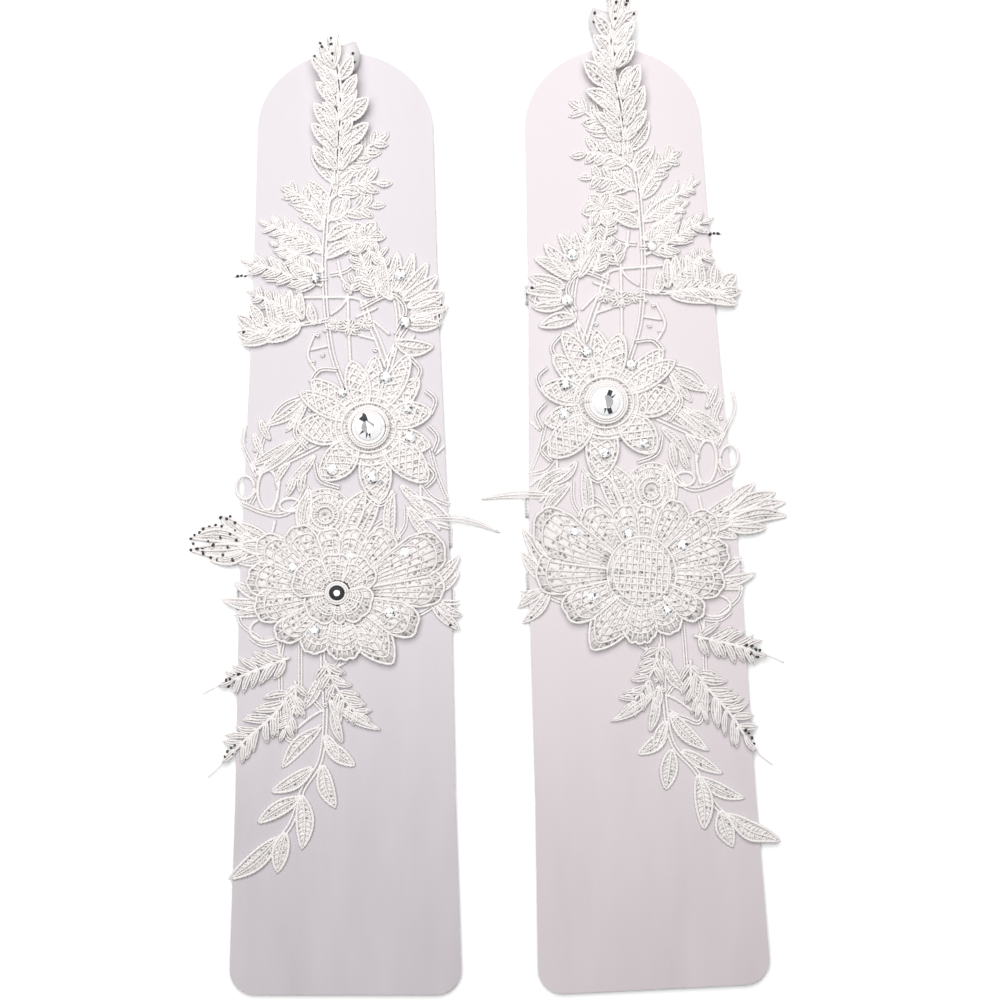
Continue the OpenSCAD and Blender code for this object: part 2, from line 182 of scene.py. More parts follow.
def mixed(tree, factor, a, b):
    mix = addNode(tree, "ShaderNodeMix", data_type="FLOAT", Factor=factor)
    tree.links.new(a.outputs["Fac"], mix.inputs[2])
    tree.links.new(b.outputs["Fac"], mix.inputs[3])
    return mix


def noise(tree, vector, outName, scale, detail):
    node = addNode(tree, "ShaderNodeTexNoise", Scale=scale, Detail=detail)
    link(tree, vector, outName, node, "Vector")
    return node


def tint(tree, shader, source, outName, stops, socket="Base Color"):
    tones = ramp(tree, stops)
    link(tree, source, outName, tones, "Fac")
    link(tree, tones, "Color", shader, socket)


def roughen(tree, shader, source, outName, strength, distance):
    bump = addNode(tree, "ShaderNodeBump", Strength=strength, Distance=distance)
    link(tree, source, outName, bump, "Height")
    link(tree, bump, "Normal", shader, "Normal")


def grey(value):
    return (value, value, value)


# Cotton thread: fine wraps along each cord, and a soft unevenness in the bleaching
def threadMaterial(name, bright, dim, wrap, bumpHeight):
    material, tree, shader = newMaterial(name)
    uv = addNode(tree, "ShaderNodeUVMap", uv_map="threads")
    wraps = addNode(tree, "ShaderNodeTexWave", wave_type="BANDS", bands_direction="DIAGONAL",
        Scale=wrap, Distortion=1.2, Detail=1)
    link(tree, uv, "UV", wraps, "Vector")
    coords = addNode(tree, "ShaderNodeTexCoord")
    bleach = noise(tree, coords, "Object", 420, 3)
    tint(tree, shader, mixed(tree, 0.45, wraps, bleach), 0, [(0.15, dim), (0.75, bright)])
    fuzz = noise(tree, coords, "Object", 2600, 2)
    roughen(tree, shader, mixed(tree, 0.3, wraps, fuzz), 0, 0.7, bumpHeight)
    dial(shader, {"Roughness": 0.62, "Sheen Weight": 0.2, "Sheen Roughness": 0.4})
    return material


# The stitched ground inside leaves and petals: small cells with darker pin holes. This is painted shade: the
# ground is coloured darker than the cords and its holes near black, for the shadow on the recessed ground and
# in its holes
def shadedGroundMaterial(name, bright, holeShadow, cells):
    material, tree, shader = newMaterial(name)
    uv = addNode(tree, "ShaderNodeUVMap", uv_map="threads")
    cell = addNode(tree, "ShaderNodeTexVoronoi", Scale=cells, Randomness=0.75)
    link(tree, uv, "UV", cell, "Vector")
    tint(tree, shader, cell, "Distance", [(0.16, holeShadow), (0.5, bright)])
    roughen(tree, shader, cell, "Distance", 0.8, 0.0003)
    dial(shader, {"Roughness": 0.75, "Sheen Weight": 0.15})
    return material


thread = {
    "guipure": threadMaterial("guipureThread", (0.86, 0.825, 0.812), (0.67, 0.64, 0.628), 0.55, 0.00022),
    "net": threadMaterial("nettingThread", (0.85, 0.815, 0.802), (0.65, 0.62, 0.61), 0.75, 0.00016),
    # The ground's tones are painted shade: darker than the cords, with near-black holes
    "ground": shadedGroundMaterial("stitchedGroundPaintedShade", (0.70, 0.665, 0.655), (0.19, 0.18, 0.178), 0.62),
}


def insertMaterial(name, dim, bright):
    material, tree, shader = newMaterial(name)
    coords = addNode(tree, "ShaderNodeTexCoord")
    stretch = addNode(tree, "ShaderNodeMapping", Scale=(1, 0.22, 1))
    link(tree, coords, "Object", stretch, "Vector")
    mottle = noise(tree, stretch, "Vector", 60, 4)
    mottle.inputs["Roughness"].default_value = 0.6
    tint(tree, shader, mottle, "Fac", [(0.3, dim), (0.7, bright)])
    tint(tree, shader, mottle, "Fac", [(0.3, grey(0.27)), (0.7, grey(0.35))], "Roughness")
    roughen(tree, shader, noise(tree, coords, "Object", 900, 2), "Fac", 0.12, 0.0001)
    dial(shader, {"IOR": 1.5, "Specular IOR Level": 0.5})
    return material


def satinMaterial(name, bright, dim, scale, roughness):
    material, tree, shader = newMaterial(name)
    uv = addNode(tree, "ShaderNodeUVMap", uv_map="threads")
    waves = []
    for direction, size in (("X", scale), ("Y", scale * 0.5)):
        waves.append(addNode(tree, "ShaderNodeTexWave", wave_type="BANDS", bands_direction=direction,
            Scale=size))
        link(tree, uv, "UV", waves[-1], "Vector")
    weave = mixed(tree, 0.5, *waves)
    tint(tree, shader, weave, 0, [(0.1, dim), (0.8, bright)])
    roughen(tree, shader, weave, 0, 0.6, 0.00012)
    dial(shader, {"Roughness": roughness, "Sheen Weight": 0.3})
    return material


def paintedReflectionStoneMaterial():
    # Foil-backed glass: each facet carries a painted reflection tone in the "facet" attribute, near black,
    # grey or near white, standing in for the dark and bright surroundings the facets reflect
    material, tree, shader = newMaterial("foilBackedStonePaintedReflections")
    facet = addNode(tree, "ShaderNodeAttribute", attribute_name="facet")
    cloud = noise(tree, addNode(tree, "ShaderNodeTexCoord"), "Object", 900, 2)
    tint(tree, shader, mixed(tree, 0.15, facet, cloud), 0,
        [(0.0, (0.012, 0.013, 0.014)), (0.35, (0.22, 0.22, 0.23)), (0.72, (0.93, 0.93, 0.94))])
    dial(shader, {"Metallic": 0.1, "Roughness": 0.08, "Coat Weight": 0.8, "Coat Roughness": 0.03})
    return material


def metalMaterial(name, bright, dim, metallic=1):
    material, tree, shader = newMaterial(name)
    wear = noise(tree, addNode(tree, "ShaderNodeTexCoord"), "Object", 700, 4)
    tint(tree, shader, wear, "Fac", [(0.3, dim), (0.65, bright)])
    tint(tree, shader, wear, "Fac", [(0.3, grey(0.30)), (0.7, grey(0.16))], "Roughness")
    dial(shader, {"Metallic": metallic})
    return material


# The left insert is lilac and the right one pink; the right one's base colour is also lighter, painted light
# for the stronger light falling on it
glossyInsert = {"left": insertMaterial("lilacInsertSheet", (0.482, 0.444, 0.474), (0.512, 0.472, 0.502)),
  "right": insertMaterial("pinkInsertSheetPaintedLight", (0.525, 0.474, 0.495), (0.555, 0.50, 0.522))}
satinRibbon = satinMaterial("satinRibbon", (0.72, 0.69, 0.70), (0.50, 0.47, 0.49), 1.2, 0.35)
elasticWeave = satinMaterial("elasticWeave", (0.86, 0.85, 0.84), (0.62, 0.61, 0.61), 0.45, 0.6)
cutStone = paintedReflectionStoneMaterial()
platedMetal = metalMaterial("platedSetting", (0.62, 0.61, 0.62), (0.36, 0.36, 0.37))
oxideMetal = metalMaterial("darkenedSetting", (0.02, 0.02, 0.022), (0.008, 0.008, 0.009), 0)
# Near-black bead colour: painted shade for dark specks of shadow on the lace ends
shadowSpeckBead = metalMaterial("shadowSpeckBead", (0.05, 0.05, 0.055), (0.01, 0.01, 0.011), 0.2)
print("materials made")


# Cords and cloth
def newWork(side, z):
    return {"side": side, "z": z + lacing["clear"], "slope": None, "verts": [], "faces": [], "uvs": [],
        "finish": [], "cutArea": 0.0, "cutPoints": []}


def addTube(work, points, radii, around, flat):
    # points are in metres in the shared frame, radii in millimetres
    verts, faces, uvs = work["verts"], work["faces"], work["uvs"]
    base, count, along = len(verts), len(points), 0.0
    lengths = []
    for i, p in enumerate(points):
        if i:
            along += (p - points[i - 1]).length / mm
        lengths.append(along)
        run = points[min(i + 1, count - 1)] - points[max(i - 1, 0)]
        run = run.normalized() if run.length > 1e-9 else Vector((1, 0, 0))
        across = Vector((-run.y, run.x, 0))
        across = across.normalized() if across.length > 1e-3 else Vector((0, 1, 0))
        up = run.cross(across)
        for k in range(around):
            a = 2 * math.pi * (k + 0.5) / around
            verts.append(p + (across * math.cos(a) + up * (math.sin(a) * flat)) * radii[i] * mm)
    girth = 6.28 * radii[0]
    for i in range(count - 1):
        for k in range(around):
            n = (k + 1) % around
            a, b = base + i * around, base + (i + 1) * around
            faces.append((a + k, a + n, b + n, b + k))
            g0, g1 = girth * k / around, girth * (k + 1) / around
            uvs += [(lengths[i], g0), (lengths[i], g1), (lengths[i + 1], g1), (lengths[i + 1], g0)]
    last = base + (count - 1) * around
    faces.append(tuple(base + k for k in reversed(range(around))))
    faces.append(tuple(last + k for k in range(around)))
    uvs += [(0, girth * k / around) for k in reversed(range(around))]
    uvs += [(along, girth * k / around) for k in range(around)]
    work["finish"] += [0] * (len(faces) - len(work["finish"]))


def curveThrough(points, step):
    # Catmull-Rom through the given points
    if len(points) < 3:
        a, b = points[0], points[-1]
        count = max(1, round(math.dist(a, b) / step))
        return [tuple(between(i / count, p, q) for p, q in zip(a, b)) for i in range(count + 1)]
    ext = [points[0]] + list(points) + [points[-1]]
    out = []
    for i in range(1, len(ext) - 2):
        p0, p1, p2, p3 = ext[i - 1], ext[i], ext[i + 1], ext[i + 2]
        count = max(2, round(math.dist(p1, p2) / step))
        for j in range(count):
            t = j / count
            out.append(tuple(0.5 * (2 * b + (c - a) * t + (2 * a - 5 * b + 4 * c - d) * t * t
                + (3 * b - a - 3 * c + d) * t ** 3) for a, b, c, d in zip(p0, p1, p2, p3)))
    return out + [tuple(points[-1])]


def lift(work, v):
    # How far the finger tip has risen over the loop, in millimetres
    if work["slope"] is None:
        return 0
    start, slope = work["slope"]
    return max(0, v - start) * slope


def spot(work, p, z):
    return place(work["side"], p[0], p[1], work["z"] + z + (p[2] if len(p) > 2 else 0) + lift(work, p[1]))


def cord(work, points, radius, z=0, around=6, flat=0.8, ends=1.0, knots=0.0):
    # points in the glove's own layout: (u, v) or (u, v, extra height); knots swells every other point
    placed = [spot(work, p, z) for p in points]
    last = len(placed) - 1
    radii = [radius * (ends if i in (0, last) else 1 + (knots if i % 2 else -knots)) for i in range(last + 1)]
    addTube(work, placed, radii, around, flat)


def ground(work, rows, z=0):
    # A thin closed piece of stitched ground; rows of (u, v, height), all rows as long as each other
    verts, faces, uvs = work["verts"], work["faces"], work["uvs"]
    base, wide = len(verts), len(rows[0])
    for drop in (0, lacing["groundThick"]):
        for row in rows:
            verts += [spot(work, p, z - drop) for p in row]
    under = len(rows) * wide
    flatRow = [p for row in rows for p in row]
    made = []
    for i in range(len(rows) - 1):
        for j in range(wide - 1):
            a = i * wide + j
            quad = (a, a + 1, a + wide + 1, a + wide)
            made.append(quad)
            made.append(tuple(q + under for q in reversed(quad)))
    rim = [j for j in range(wide)] + [i * wide + wide - 1 for i in range(1, len(rows))]
    rim += [(len(rows) - 1) * wide + j for j in range(wide - 2, -1, -1)]
    rim += [i * wide for i in range(len(rows) - 2, 0, -1)]
    for a, b in zip(rim, rim[1:] + rim[:1]):
        made.append((b, a, a + under, b + under))
    for i in range(len(rows) - 1):
        for j in range(wide - 1):
            ring = [rows[i][j], rows[i][j + 1], rows[i + 1][j + 1], rows[i + 1][j]]
            pairs = zip(ring, ring[1:] + ring[:1])
            work["cutArea"] += abs(sum(p[0] * q[1] - q[0] * p[1] for p, q in pairs)) / 2
    work["cutPoints"] += [p[:2] for p in flatRow]
    turn = 0.0
    for quad in made[0:2 * (len(rows) - 1) * (wide - 1):2]:
        a, b, c = (verts[base + q] for q in quad[:3])
        turn += (b - a).cross(c - a).z
    for quad in made:
        if turn < 0:
            quad = tuple(reversed(quad))
        faces.append(tuple(base + q for q in quad))
        uvs += [flatRow[q % under][:2] for q in quad]
    work["finish"] += [1] * (len(faces) - len(work["finish"]))


def offset(points, by):
    out = []
    for i, p in enumerate(points):
        a, b = points[max(i - 1, 0)], points[min(i + 1, len(points) - 1)]
        du, dv = b[0] - a[0], b[1] - a[1]
        size = math.hypot(du, dv) or 1
        out.append((p[0] - dv / size * by, p[1] + du / size * by, *p[2:]))
    return out


def stem(work, points, width=1.8, z=0):
    line = curveThrough(points, 1.1)
    if width < 1.7:
        cord(work, line, width * 0.45, z, ends=0.6, knots=0.12)
        return
    for way in (-1, 1):
        cord(work, offset(line, way * width * 0.3), width * 0.22, z, ends=0.6, knots=0.12)


def stems(work, rows, z=0):
    for points, width in rows:
        stem(work, points, width, z)


def alongLeaf(base, tip, s, t, bend):
    # s runs from the base to the tip, t across in millimetres; the leaf bows sideways by bend
    du, dv = tip[0] - base[0], tip[1] - base[1]
    size = math.hypot(du, dv) or 1
    t += bend * math.sin(math.pi * s)
    return base[0] + du * s - dv / size * t, base[1] + dv * s + du / size * t


def leafHalf(s, width, point):
    return width / 2 * max(0.0, math.sin(math.pi * min(1, max(0, s)) ** 0.92)) ** (0.75 * point)


lacing = {
    "outline": 0.58,   # radius of the cord round a leaf
    "midrib": 0.42,
    "knots": 0.17,     # how far the outline swells at each stitch
    "rung": 0.30,      # thin bars between outline and midrib
    "rungPitch": 1.7,
    "groundThick": 0.25,
    "clear": 0.4,      # gap between a layer's foot and its threads
    "oval": 0.75,
    "picot": 0.46,
    "stemRib": 1.6,    # width of a sprig's stem
    "dome": 0.9,       # how far a leaf's middle rises
    "tipDroop": 0.5,
    "fuller": 1.12,    # leaves are this much wider than their listed width
    "openest": 0.3,    # a share of its cut that ground fills
}


def leaf(work, base, tip, width, rng, z=0, rungs=True, outline=1.0, filled=True, point=1.0):
    width *= lacing["fuller"]
    size = math.dist(base, tip)
    bend = rng.uniform(-0.1, 0.1) * size
    dome = lacing["dome"] * rng.uniform(0.6, 1.4)
    tilt = rng.uniform(-0.2, 0.2)
    edge = lacing["outline"] * outline * min(1.1, max(0.75, width / 5.5))
    reach = max(0.8, width - 2 * edge)

    def at(s, t):
        u, v = alongLeaf(base, tip, s, t, bend)
        height = dome * math.sin(math.pi * min(1, s) * 0.9) - lacing["tipDroop"] * s * s
        return u, v, height - 0.35 * abs(t) / (width / 2) + tilt * t

    steps = max(6, round(size / 0.95))
    rim = [at(i / steps, leafHalf(i / steps, reach, point)) for i in range(steps + 1)]
    rim += [at(i / steps, -leafHalf(i / steps, reach, point)) for i in range(steps - 1, -1, -1)]
    cord(work, rim, edge, z, knots=lacing["knots"])
    if width < 3.4 or rng.random() < 0.45:
        cord(work, [at(i / steps, 0) for i in range(steps)], lacing["midrib"], z + 0.1)
    else:
        for way in (-1, 1):
            cord(work, [at(i / steps, way * 0.2 * leafHalf(i / steps, reach, point)) for i in range(steps)],
                lacing["midrib"] * 0.8, z + 0.1, 5)
    if filled and reach > 1.6:
        rows = []
        parts = max(4, steps // 2)
        for i in range(parts + 1):
            h = max(0.12, leafHalf(i / parts, reach, point))
            rows.append([at(i / parts, t * h) for t in (-1, -0.5, 0, 0.5, 1)])
        ground(work, rows, z - 0.45)
    if not rungs:
        return
    count = max(2, int(size / lacing["rungPitch"]))
    for i in range(1, count):
        s = i / count
        for way in (-1, 1):
            h = leafHalf(s, reach, point)
            if h < 0.9:
                continue
            lean = min(0.06, 0.9 / size)
            cord(work, [at(s - lean, 0), at(min(1, s + lean), way * h)], lacing["rung"], z - 0.12, 4)


def leavesOf(work, rows, rng, z=0, **more):
    for bu, bv, tu, tv, w in rows:
        leaf(work, (bu, bv), (tu + rng.uniform(-0.3, 0.3), tv + rng.uniform(-0.3, 0.3)), w, rng, z, **more)


def sprig(work, points, rng, long, wide, pitch, angle, first, shrink=0.7, **more):
    # Leaves in pairs up a stem, smaller towards its end, with one leaf at the tip
    line = curveThrough(points, 1)
    stem(work, points, lacing["stemRib"])
    total = sum(math.dist(a, b) for a, b in zip(line, line[1:]))
    gone, due = 0.0, first
    for i in range(1, len(line)):
        gone += math.dist(line[i - 1], line[i])
        if gone < due or total - gone < 1.5:
            continue
        due += pitch
        du, dv = line[i][0] - line[i - 1][0], line[i][1] - line[i - 1][1]
        heading = math.atan2(dv, du)
        size = between(gone / total, 1, shrink)
        for way in (-1, 1):
            a = heading + way * math.radians(angle * rng.uniform(0.85, 1.15))
            reach = long * size * rng.uniform(0.88, 1.12)
            slide = rng.uniform(-0.6, 0.6)
            b = (line[i][0] + slide * math.cos(heading), line[i][1] + slide * math.sin(heading))
            leaf(work, b, (b[0] + reach * math.cos(a), b[1] + reach * math.sin(a)), wide * size, rng,
                0.15 * way, **more)
    (u0, v0), (u1, v1) = line[-3][:2], line[-2][:2]
    a = math.atan2(v1 - v0, u1 - u0)
    tip = (u1 + long * shrink * math.cos(a), v1 + long * shrink * math.sin(a))
    leaf(work, (u1, v1), tip, wide * shrink, rng, **more)


def crossings(poly, degrees, pitch, phase):
    # Parallel lines across an outline, cut where they meet it
    c, s = math.cos(math.radians(degrees)), math.sin(math.radians(degrees))
    spun = [(u * c + v * s, -u * s + v * c) for u, v in poly]
    low, high = min(p[1] for p in spun), max(p[1] for p in spun)
    y = low + pitch * (0.5 + phase)
    while y < high:
        cuts = []
        for (a0, b0), (a1, b1) in zip(spun, spun[1:] + spun[:1]):
            if (b0 > y) != (b1 > y):
                cuts.append(a0 + (a1 - a0) * (y - b0) / (b1 - b0))
        cuts.sort()
        for x0, x1 in zip(cuts[::2], cuts[1::2]):
            if x1 - x0 > 0.8:
                yield (x0 * c - y * s, x0 * s + y * c), (x1 * c - y * s, x1 * s + y * c)
        y += pitch


def disc(centre, radii, parts, height):
    # Rows for a round patch of ground; parts is how many steps make half a turn
    cu, cv = centre
    return [[(cu + r * math.cos(t / parts * math.pi), cv + r * math.sin(t / parts * math.pi), height(r))
        for t in range(2 * parts + 1)] for r in radii]


def net(work, poly, directions, pitch, radius, rng, z=0, height=None):
    for i, degrees in enumerate(directions):
        for a, b in crossings(poly, degrees, pitch, rng.uniform(-0.3, 0.3)):
            count = max(1, round(math.dist(a, b) / 2.4))
            line = []
            for j in range(count + 1):
                u, v = between(j / count, a[0], b[0]), between(j / count, a[1], b[1])
                u, v = u + rng.uniform(-0.2, 0.2), v + rng.uniform(-0.2, 0.2)
                line.append((u, v, (height(u, v) if height else 0) + 0.12 * i))
            cord(work, line, radius * rng.uniform(0.85, 1.15), z, 5, 0.7)


def ringLine(centre, ru, rv, start, end, count):
    return [(centre[0] + ru * math.cos(math.radians(between(i / count, start, end))),
        centre[1] + rv * math.sin(math.radians(between(i / count, start, end)))) for i in range(count + 1)]


def circle(work, centre, ru, rv, height, count, radius=0.55, z=0):
    cord(work, [(u, v, height) for u, v in ringLine(centre, ru, rv, 0, 360, count)], radius, z)


def oval(work, centre, ru, rv):
    cord(work, ringLine(centre, ru - lacing["oval"], rv - lacing["oval"], 0, 360, 24), lacing["oval"])


def picots(work, points, rng, radius):
    # Small closed loops, as knots and buds along the brides
    for u, v in points:
        r = 0.55 * radius * rng.uniform(0.8, 1.25)
        cord(work, ringLine((u, v), r, r * 0.8, 0, 330, 7), lacing["picot"], 0.2, 5)


def meshFrom(name, work, material):
    mesh = bpy.data.meshes.new(name)
    mesh.from_pydata([tuple(p) for p in work["verts"]], [], work["faces"])
    layer = mesh.uv_layers.new(name="threads")
    layer.data.foreach_set("uv", [c for pair in work["uvs"] for c in pair])
    mesh.materials.append(material)
    mesh.shade_smooth()
    mesh.update()
    piece = bpy.data.objects.new(name, mesh)
    bpy.context.scene.collection.objects.link(piece)
    return piece


def selectOnly(pieces):
    bpy.ops.object.select_all(action="DESELECT")
    for piece in pieces:
        piece.select_set(True)
    bpy.context.view_layer.objects.active = pieces[0]


def editFaces(piece, chosen):
    # Edit mode, with just the chosen faces selected
    bpy.ops.object.mode_set(mode="EDIT")
    bpy.ops.mesh.select_mode(type="FACE")
    bpy.ops.mesh.select_all(action="DESELECT")
    bpy.ops.object.mode_set(mode="OBJECT")
    for face in piece.data.polygons:
        face.select = chosen(face)
    bpy.ops.object.mode_set(mode="EDIT")


def finishPiece(piece, body, slot, *nodes):
    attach(piece, body)
    if nodes:
        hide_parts(*nodes)
    return piece


def titled(side, node, kind):
    return side + "".join(w.capitalize() for w in node.split("_")) + kind


def onlyFinish(work, finish):
    # The faces of one finish, cord or ground, as a work of their own
    part = {"verts": [], "faces": [], "uvs": []}
    seen, corner = {}, 0
    for face, kind in zip(work["faces"], work["finish"]):
        if kind == finish:
            for i in face:
                if i not in seen:
                    seen[i] = len(part["verts"])
                    part["verts"].append(work["verts"][i])
            part["faces"].append(tuple(seen[i] for i in face))
            part["uvs"] += work["uvs"][corner:corner + len(face)]
        corner += len(face)
    return part


def finishLace(work, node, material="guipure", slot="guipure_lace"):
    side, name = work["side"], titled(work["side"], node, "Lace")
    cords = finishPiece(meshFrom(name, onlyFinish(work, 0), thread[material]), side + "_glove", slot,
        side + "_" + node)
    if not work["cutPoints"]:
        print(name, "cords only")
        return
    cloth = finishPiece(meshFrom(name + "Ground", onlyFinish(work, 1), thread["ground"]), side + "_glove",
        slot)
    # The cut is measured in the flat layout, not on the finished mesh
    size = layout["rightSize"] if side == "right" else 1
    us, vs = zip(*work["cutPoints"])
    wide, long = (size * mm * (max(line) - min(line)) for line in (us, vs))
    area = work["cutArea"] * (size * mm) ** 2
    share = area / (wide * long)
    surface = sum(face.area for face in cloth.data.polygons) / 2
    print(name, "ground fills", round(share, 2), "of its cut; made is", round(surface / area, 2), "times it")


def rngFor(side, node):
    return random.Random(side + node)


# Finger tip and finger stem
finger = {"tipSlope": math.tan(math.radians(8.5)), "tipFrom": 130, "threadTip": 0.28}
tipLeaves = [(-3, 168, -13, 177, 5), (-4, 172, -10, 182, 4.5), (-3.5, 172, -7, 184.5, 4.5),
    (-4, 172, -3, 184, 4.5), (-3.2, 163, -11.5, 173, 5.5), (-2.5, 157, -11, 166, 5.5),
    (-2.5, 147, -12, 157.5, 6), (-3, 140, -13, 150, 6), (-1.5, 160, 4.5, 168.5, 5), (-1, 151, 9.5, 160, 6.5),
    (-1.5, 141, 9.5, 150, 6), (-2, 167, 3.5, 176, 5), (-3, 133, -12.5, 141, 5.5), (-1.5, 134, 7, 141.5, 5),
    (-2.5, 155, 5, 163.5, 4.5), (-3, 176, -2, 186, 3)]
fingerLine = [(-3.7, 134), (-5, 125), (-7, 118), (-8, 106), (-8.5, 94), (-8, 80), (-6.5, 66), (-4.5, 56),
    (0, 44)]
fingerLeaves = [(-4.5, 127, -13.5, 138, 6), (-6, 119, -14.5, 128, 5.5), (-4, 126, 4, 133, 5),
    (-6, 112, 2, 119, 5), (-7, 104, 4, 110, 5.5), (-8, 97, 3, 102, 5.5), (-9, 99, -25, 108, 6.5),
    (-9, 108, -17, 118, 5), (-8.5, 92, -24, 99, 6), (-8, 112, -13, 122, 4.5)]
fingerSprigs = [([(-4, 128), (3, 136), (9, 141), (13, 144)], 8.5, 4.4, 4.2, 48),
    ([(-6, 120), (0, 125), (8, 127), (13, 127)], 9, 4.4, 4.2, 46),
    ([(-7.5, 111), (0, 115), (7, 117), (11, 117.5)], 8, 4.2, 4.2, 46),
    ([(-8, 110), (-13, 117), (-17, 121), (-21, 123)], 8.5, 4.4, 4.4, 46),
    ([(-8.5, 99), (-17, 104), (-25, 108), (-30, 110)], 8, 3.0, 3.0, 42),
    ([(-12, 96), (-20, 99), (-27, 102)], 6.5, 2.8, 3.0, 42),
    ([(2, 96), (4, 103), (10, 107)], 6.5, 3.6, 3.8, 55)]

for side in sides:
    rng = rngFor(side, "tip")
    work = newWork(side, layer1)
    work["slope"] = (finger["tipFrom"], finger["tipSlope"])
    leavesOf(work, tipLeaves, rng)
    for v in range(131, 172, 5):
        for way in (-1, 1) if v < 158 else (-1,):
            long, lean = rng.uniform(8, 9.5), math.radians(rng.uniform(28, 42))
            base = (-2.6 + way * 0.8, v + rng.uniform(-1, 1))
            leaf(work, base, (base[0] + way * long * math.sin(lean), base[1] + long * math.cos(lean)), 3.6,
                rng, 0.5)
    stem(work, [(-3.7, 126), (-3.5, 130.5), (-2.5, 144), (-1.5, 158), (-3, 173)], 2.2, 0.3)
    cord(work, curveThrough([(-7, 176), (-11.5, 182), (-15, 186)], 1), finger["threadTip"], 0.2, 5)
    finishLace(work, "finger_tip")

    rng = rngFor(side, "stem")
    work = newWork(side, baseZ)
    stem(work, fingerLine, 2.2, 0.2)
    leavesOf(work, fingerLeaves, rng)
    for points, long, wide, pitch, angle in fingerSprigs:
        sprig(work, points, rng, long, wide, pitch, angle, first=3)
    for t in range(0, 360, 60):
        a = math.radians(t)
        leaf(work, (8 + 1.2 * math.cos(a), 105 + 1.2 * math.sin(a)),
            (8 + 8 * math.cos(a), 105 + 7 * math.sin(a)), 4.6, rng, 0.2)
    stems(work, [([(3, 98), (9, 92), (11, 84)], 1.8), ([(-3, 96), (-1, 88), (4, 84)], 1.6),
        ([(12, 99), (16, 93), (17, 84)], 1.8),
        ([(-6, 90), (1, 92), (7, 98)], 1.8)])
    picots(work, [(-2, 90), (4, 93), (10, 96), (14, 90), (0, 99), (8, 88), (-14, 94), (-20, 96), (-12, 103)],
        rng, 1.2)
    finishLace(work, "finger_stem")

# Knuckle sprays and bride net
middleSprigs = [([(13, 80), (10, 87), (7, 95), (5, 101)], 6.5, 3.2, 3.5, 50),
    ([(2, 82), (4, 88), (9, 92)], 5.5, 3.0, 3.4, 52), ([(14, 84), (15, 92), (13, 100)], 6, 3.0, 3.4, 48)]
knuckleSprigs = [([(-9, 85.5), (-18, 88.5), (-28, 92), (-37, 94.5)], 8.5, 3.0, 3.0, 40),
    ([(-10, 89), (-17, 93), (-24, 97)], 6, 3, 3.2, 45),
    ([(-16, 70), (-25, 70), (-33, 68), (-37, 67)], 7, 3.2, 3.4, 38),
    ([(-18, 74), (-23, 77), (-31, 80), (-36, 82)], 6.5, 3.2, 3.6, 50)]
uprightLeaves = [(-17, 72, -18, 83, 4.5), (-21, 71, -22, 84, 4.5), (-25, 70, -27, 83, 4.5),
    (-29, 69, -32, 82, 4.5), (-33, 69, -38, 78, 4.5), (-36, 68, -43, 74, 4.5), (-34, 66, -43, 67, 4.5),
    (-28, 66, -41, 62, 5), (-18, 69, -33, 63.5, 5), (-12, 70, -14, 79, 4)]
fanLeaves = [(17, 82, 15, 97, 5), (18, 83, 21, 99, 5), (20, 83, 27, 98.5, 5), (22, 82, 33, 95, 5.5),
    (23, 80, 37, 90, 5.5), (25, 77, 40, 83, 5.5), (26, 74, 41, 77, 5.5), (24, 70, 38, 70, 5),
    (20, 63, 35, 61.5, 6.5), (19, 80, 12, 90, 4.5), (25, 72, 36, 74, 4)]
brideLines = [([(-17, 81), (2, 81), (8, 79)], 1.6), ([(-17, 72), (-17, 81.5)], 1.6),
    ([(1, 84), (1.3, 70), (2, 55)], 1.6), ([(7, 80), (9, 73), (13, 64), (17, 53)], 3),
    ([(19, 84), (21, 76), (21, 66), (17, 50)], 2.4), ([(7, 79), (19, 82), (29, 80), (29, 73), (21, 73)], 1.7),
    ([(-12, 67), (-15, 58), (-11, 51)], 1.6), ([(-14, 60), (-6, 62)], 1.4),
    ([(27, 72), (20, 62), (16, 54)], 2), ([(4, 73), (13, 77)], 1.5), ([(2, 84), (-1, 78), (-6, 74)], 1.5),
    ([(5, 66), (13, 64)], 1.4), ([(11, 72), (18, 66)], 1.5), ([(-8, 71), (-2, 72)], 1.5),
    ([(22, 60), (28, 66)], 1.6)]

for side in sides:
    rng = rngFor(side, "knuckle")
    work = newWork(side, layer1)
    stem(work, [(-7, 88.5), (-20, 88), (-32, 88)])
    stem(work, [(-6.5, 72), (-18, 70), (-30, 68)])
    for points, long, wide, pitch, angle in knuckleSprigs + middleSprigs:
        sprig(work, points, rng, long, wide, pitch, angle, first=1.5, rungs=False, outline=0.9)
    leavesOf(work, uprightLeaves, rng)
    cord(work, curveThrough([(-35, 92), (-40, 89.9), (-44.5, 89.3)], 1), 0.55)
    stem(work, [(6, 76.5), (18, 82), (24, 76), (20, 66)])
    leavesOf(work, fanLeaves, rng)
    patch = [(29, 80), (37, 82), (40, 76), (38, 69), (31, 71), (28, 75)]
    net(work, patch, (30, 100), 2.0, 0.42, rng)
    picots(work, [(-10, 71), (-13, 73), (-8, 68), (-11, 66), (13, 86), (11, 82)], rng, 1.1)
    finishLace(work, "knuckle_sprays")

    rng = rngFor(side, "brides")
    work = newWork(side, baseZ)
    stems(work, brideLines)
    for cu, cv, r in ((2, 69, 5), (-4, 70, 3.6), (8, 70.5, 3.6)):
        for t in range(15, 316, 60):
            a = math.radians(t)
            leaf(work, (cu + 0.4 * math.cos(a), cv + 0.3 * math.sin(a)),
                (cu + r * math.cos(a), cv + 0.75 * r * math.sin(a)), 2.8,
                rng, rungs=False, outline=0.85, filled=False)
    picots(work, [(12, 60), (14, 57), (-13, 55), (-9, 58), (19, 58), (22, 56)], rng, 1.2)
    finishLace(work, "bride_net", "net", "corded_net")

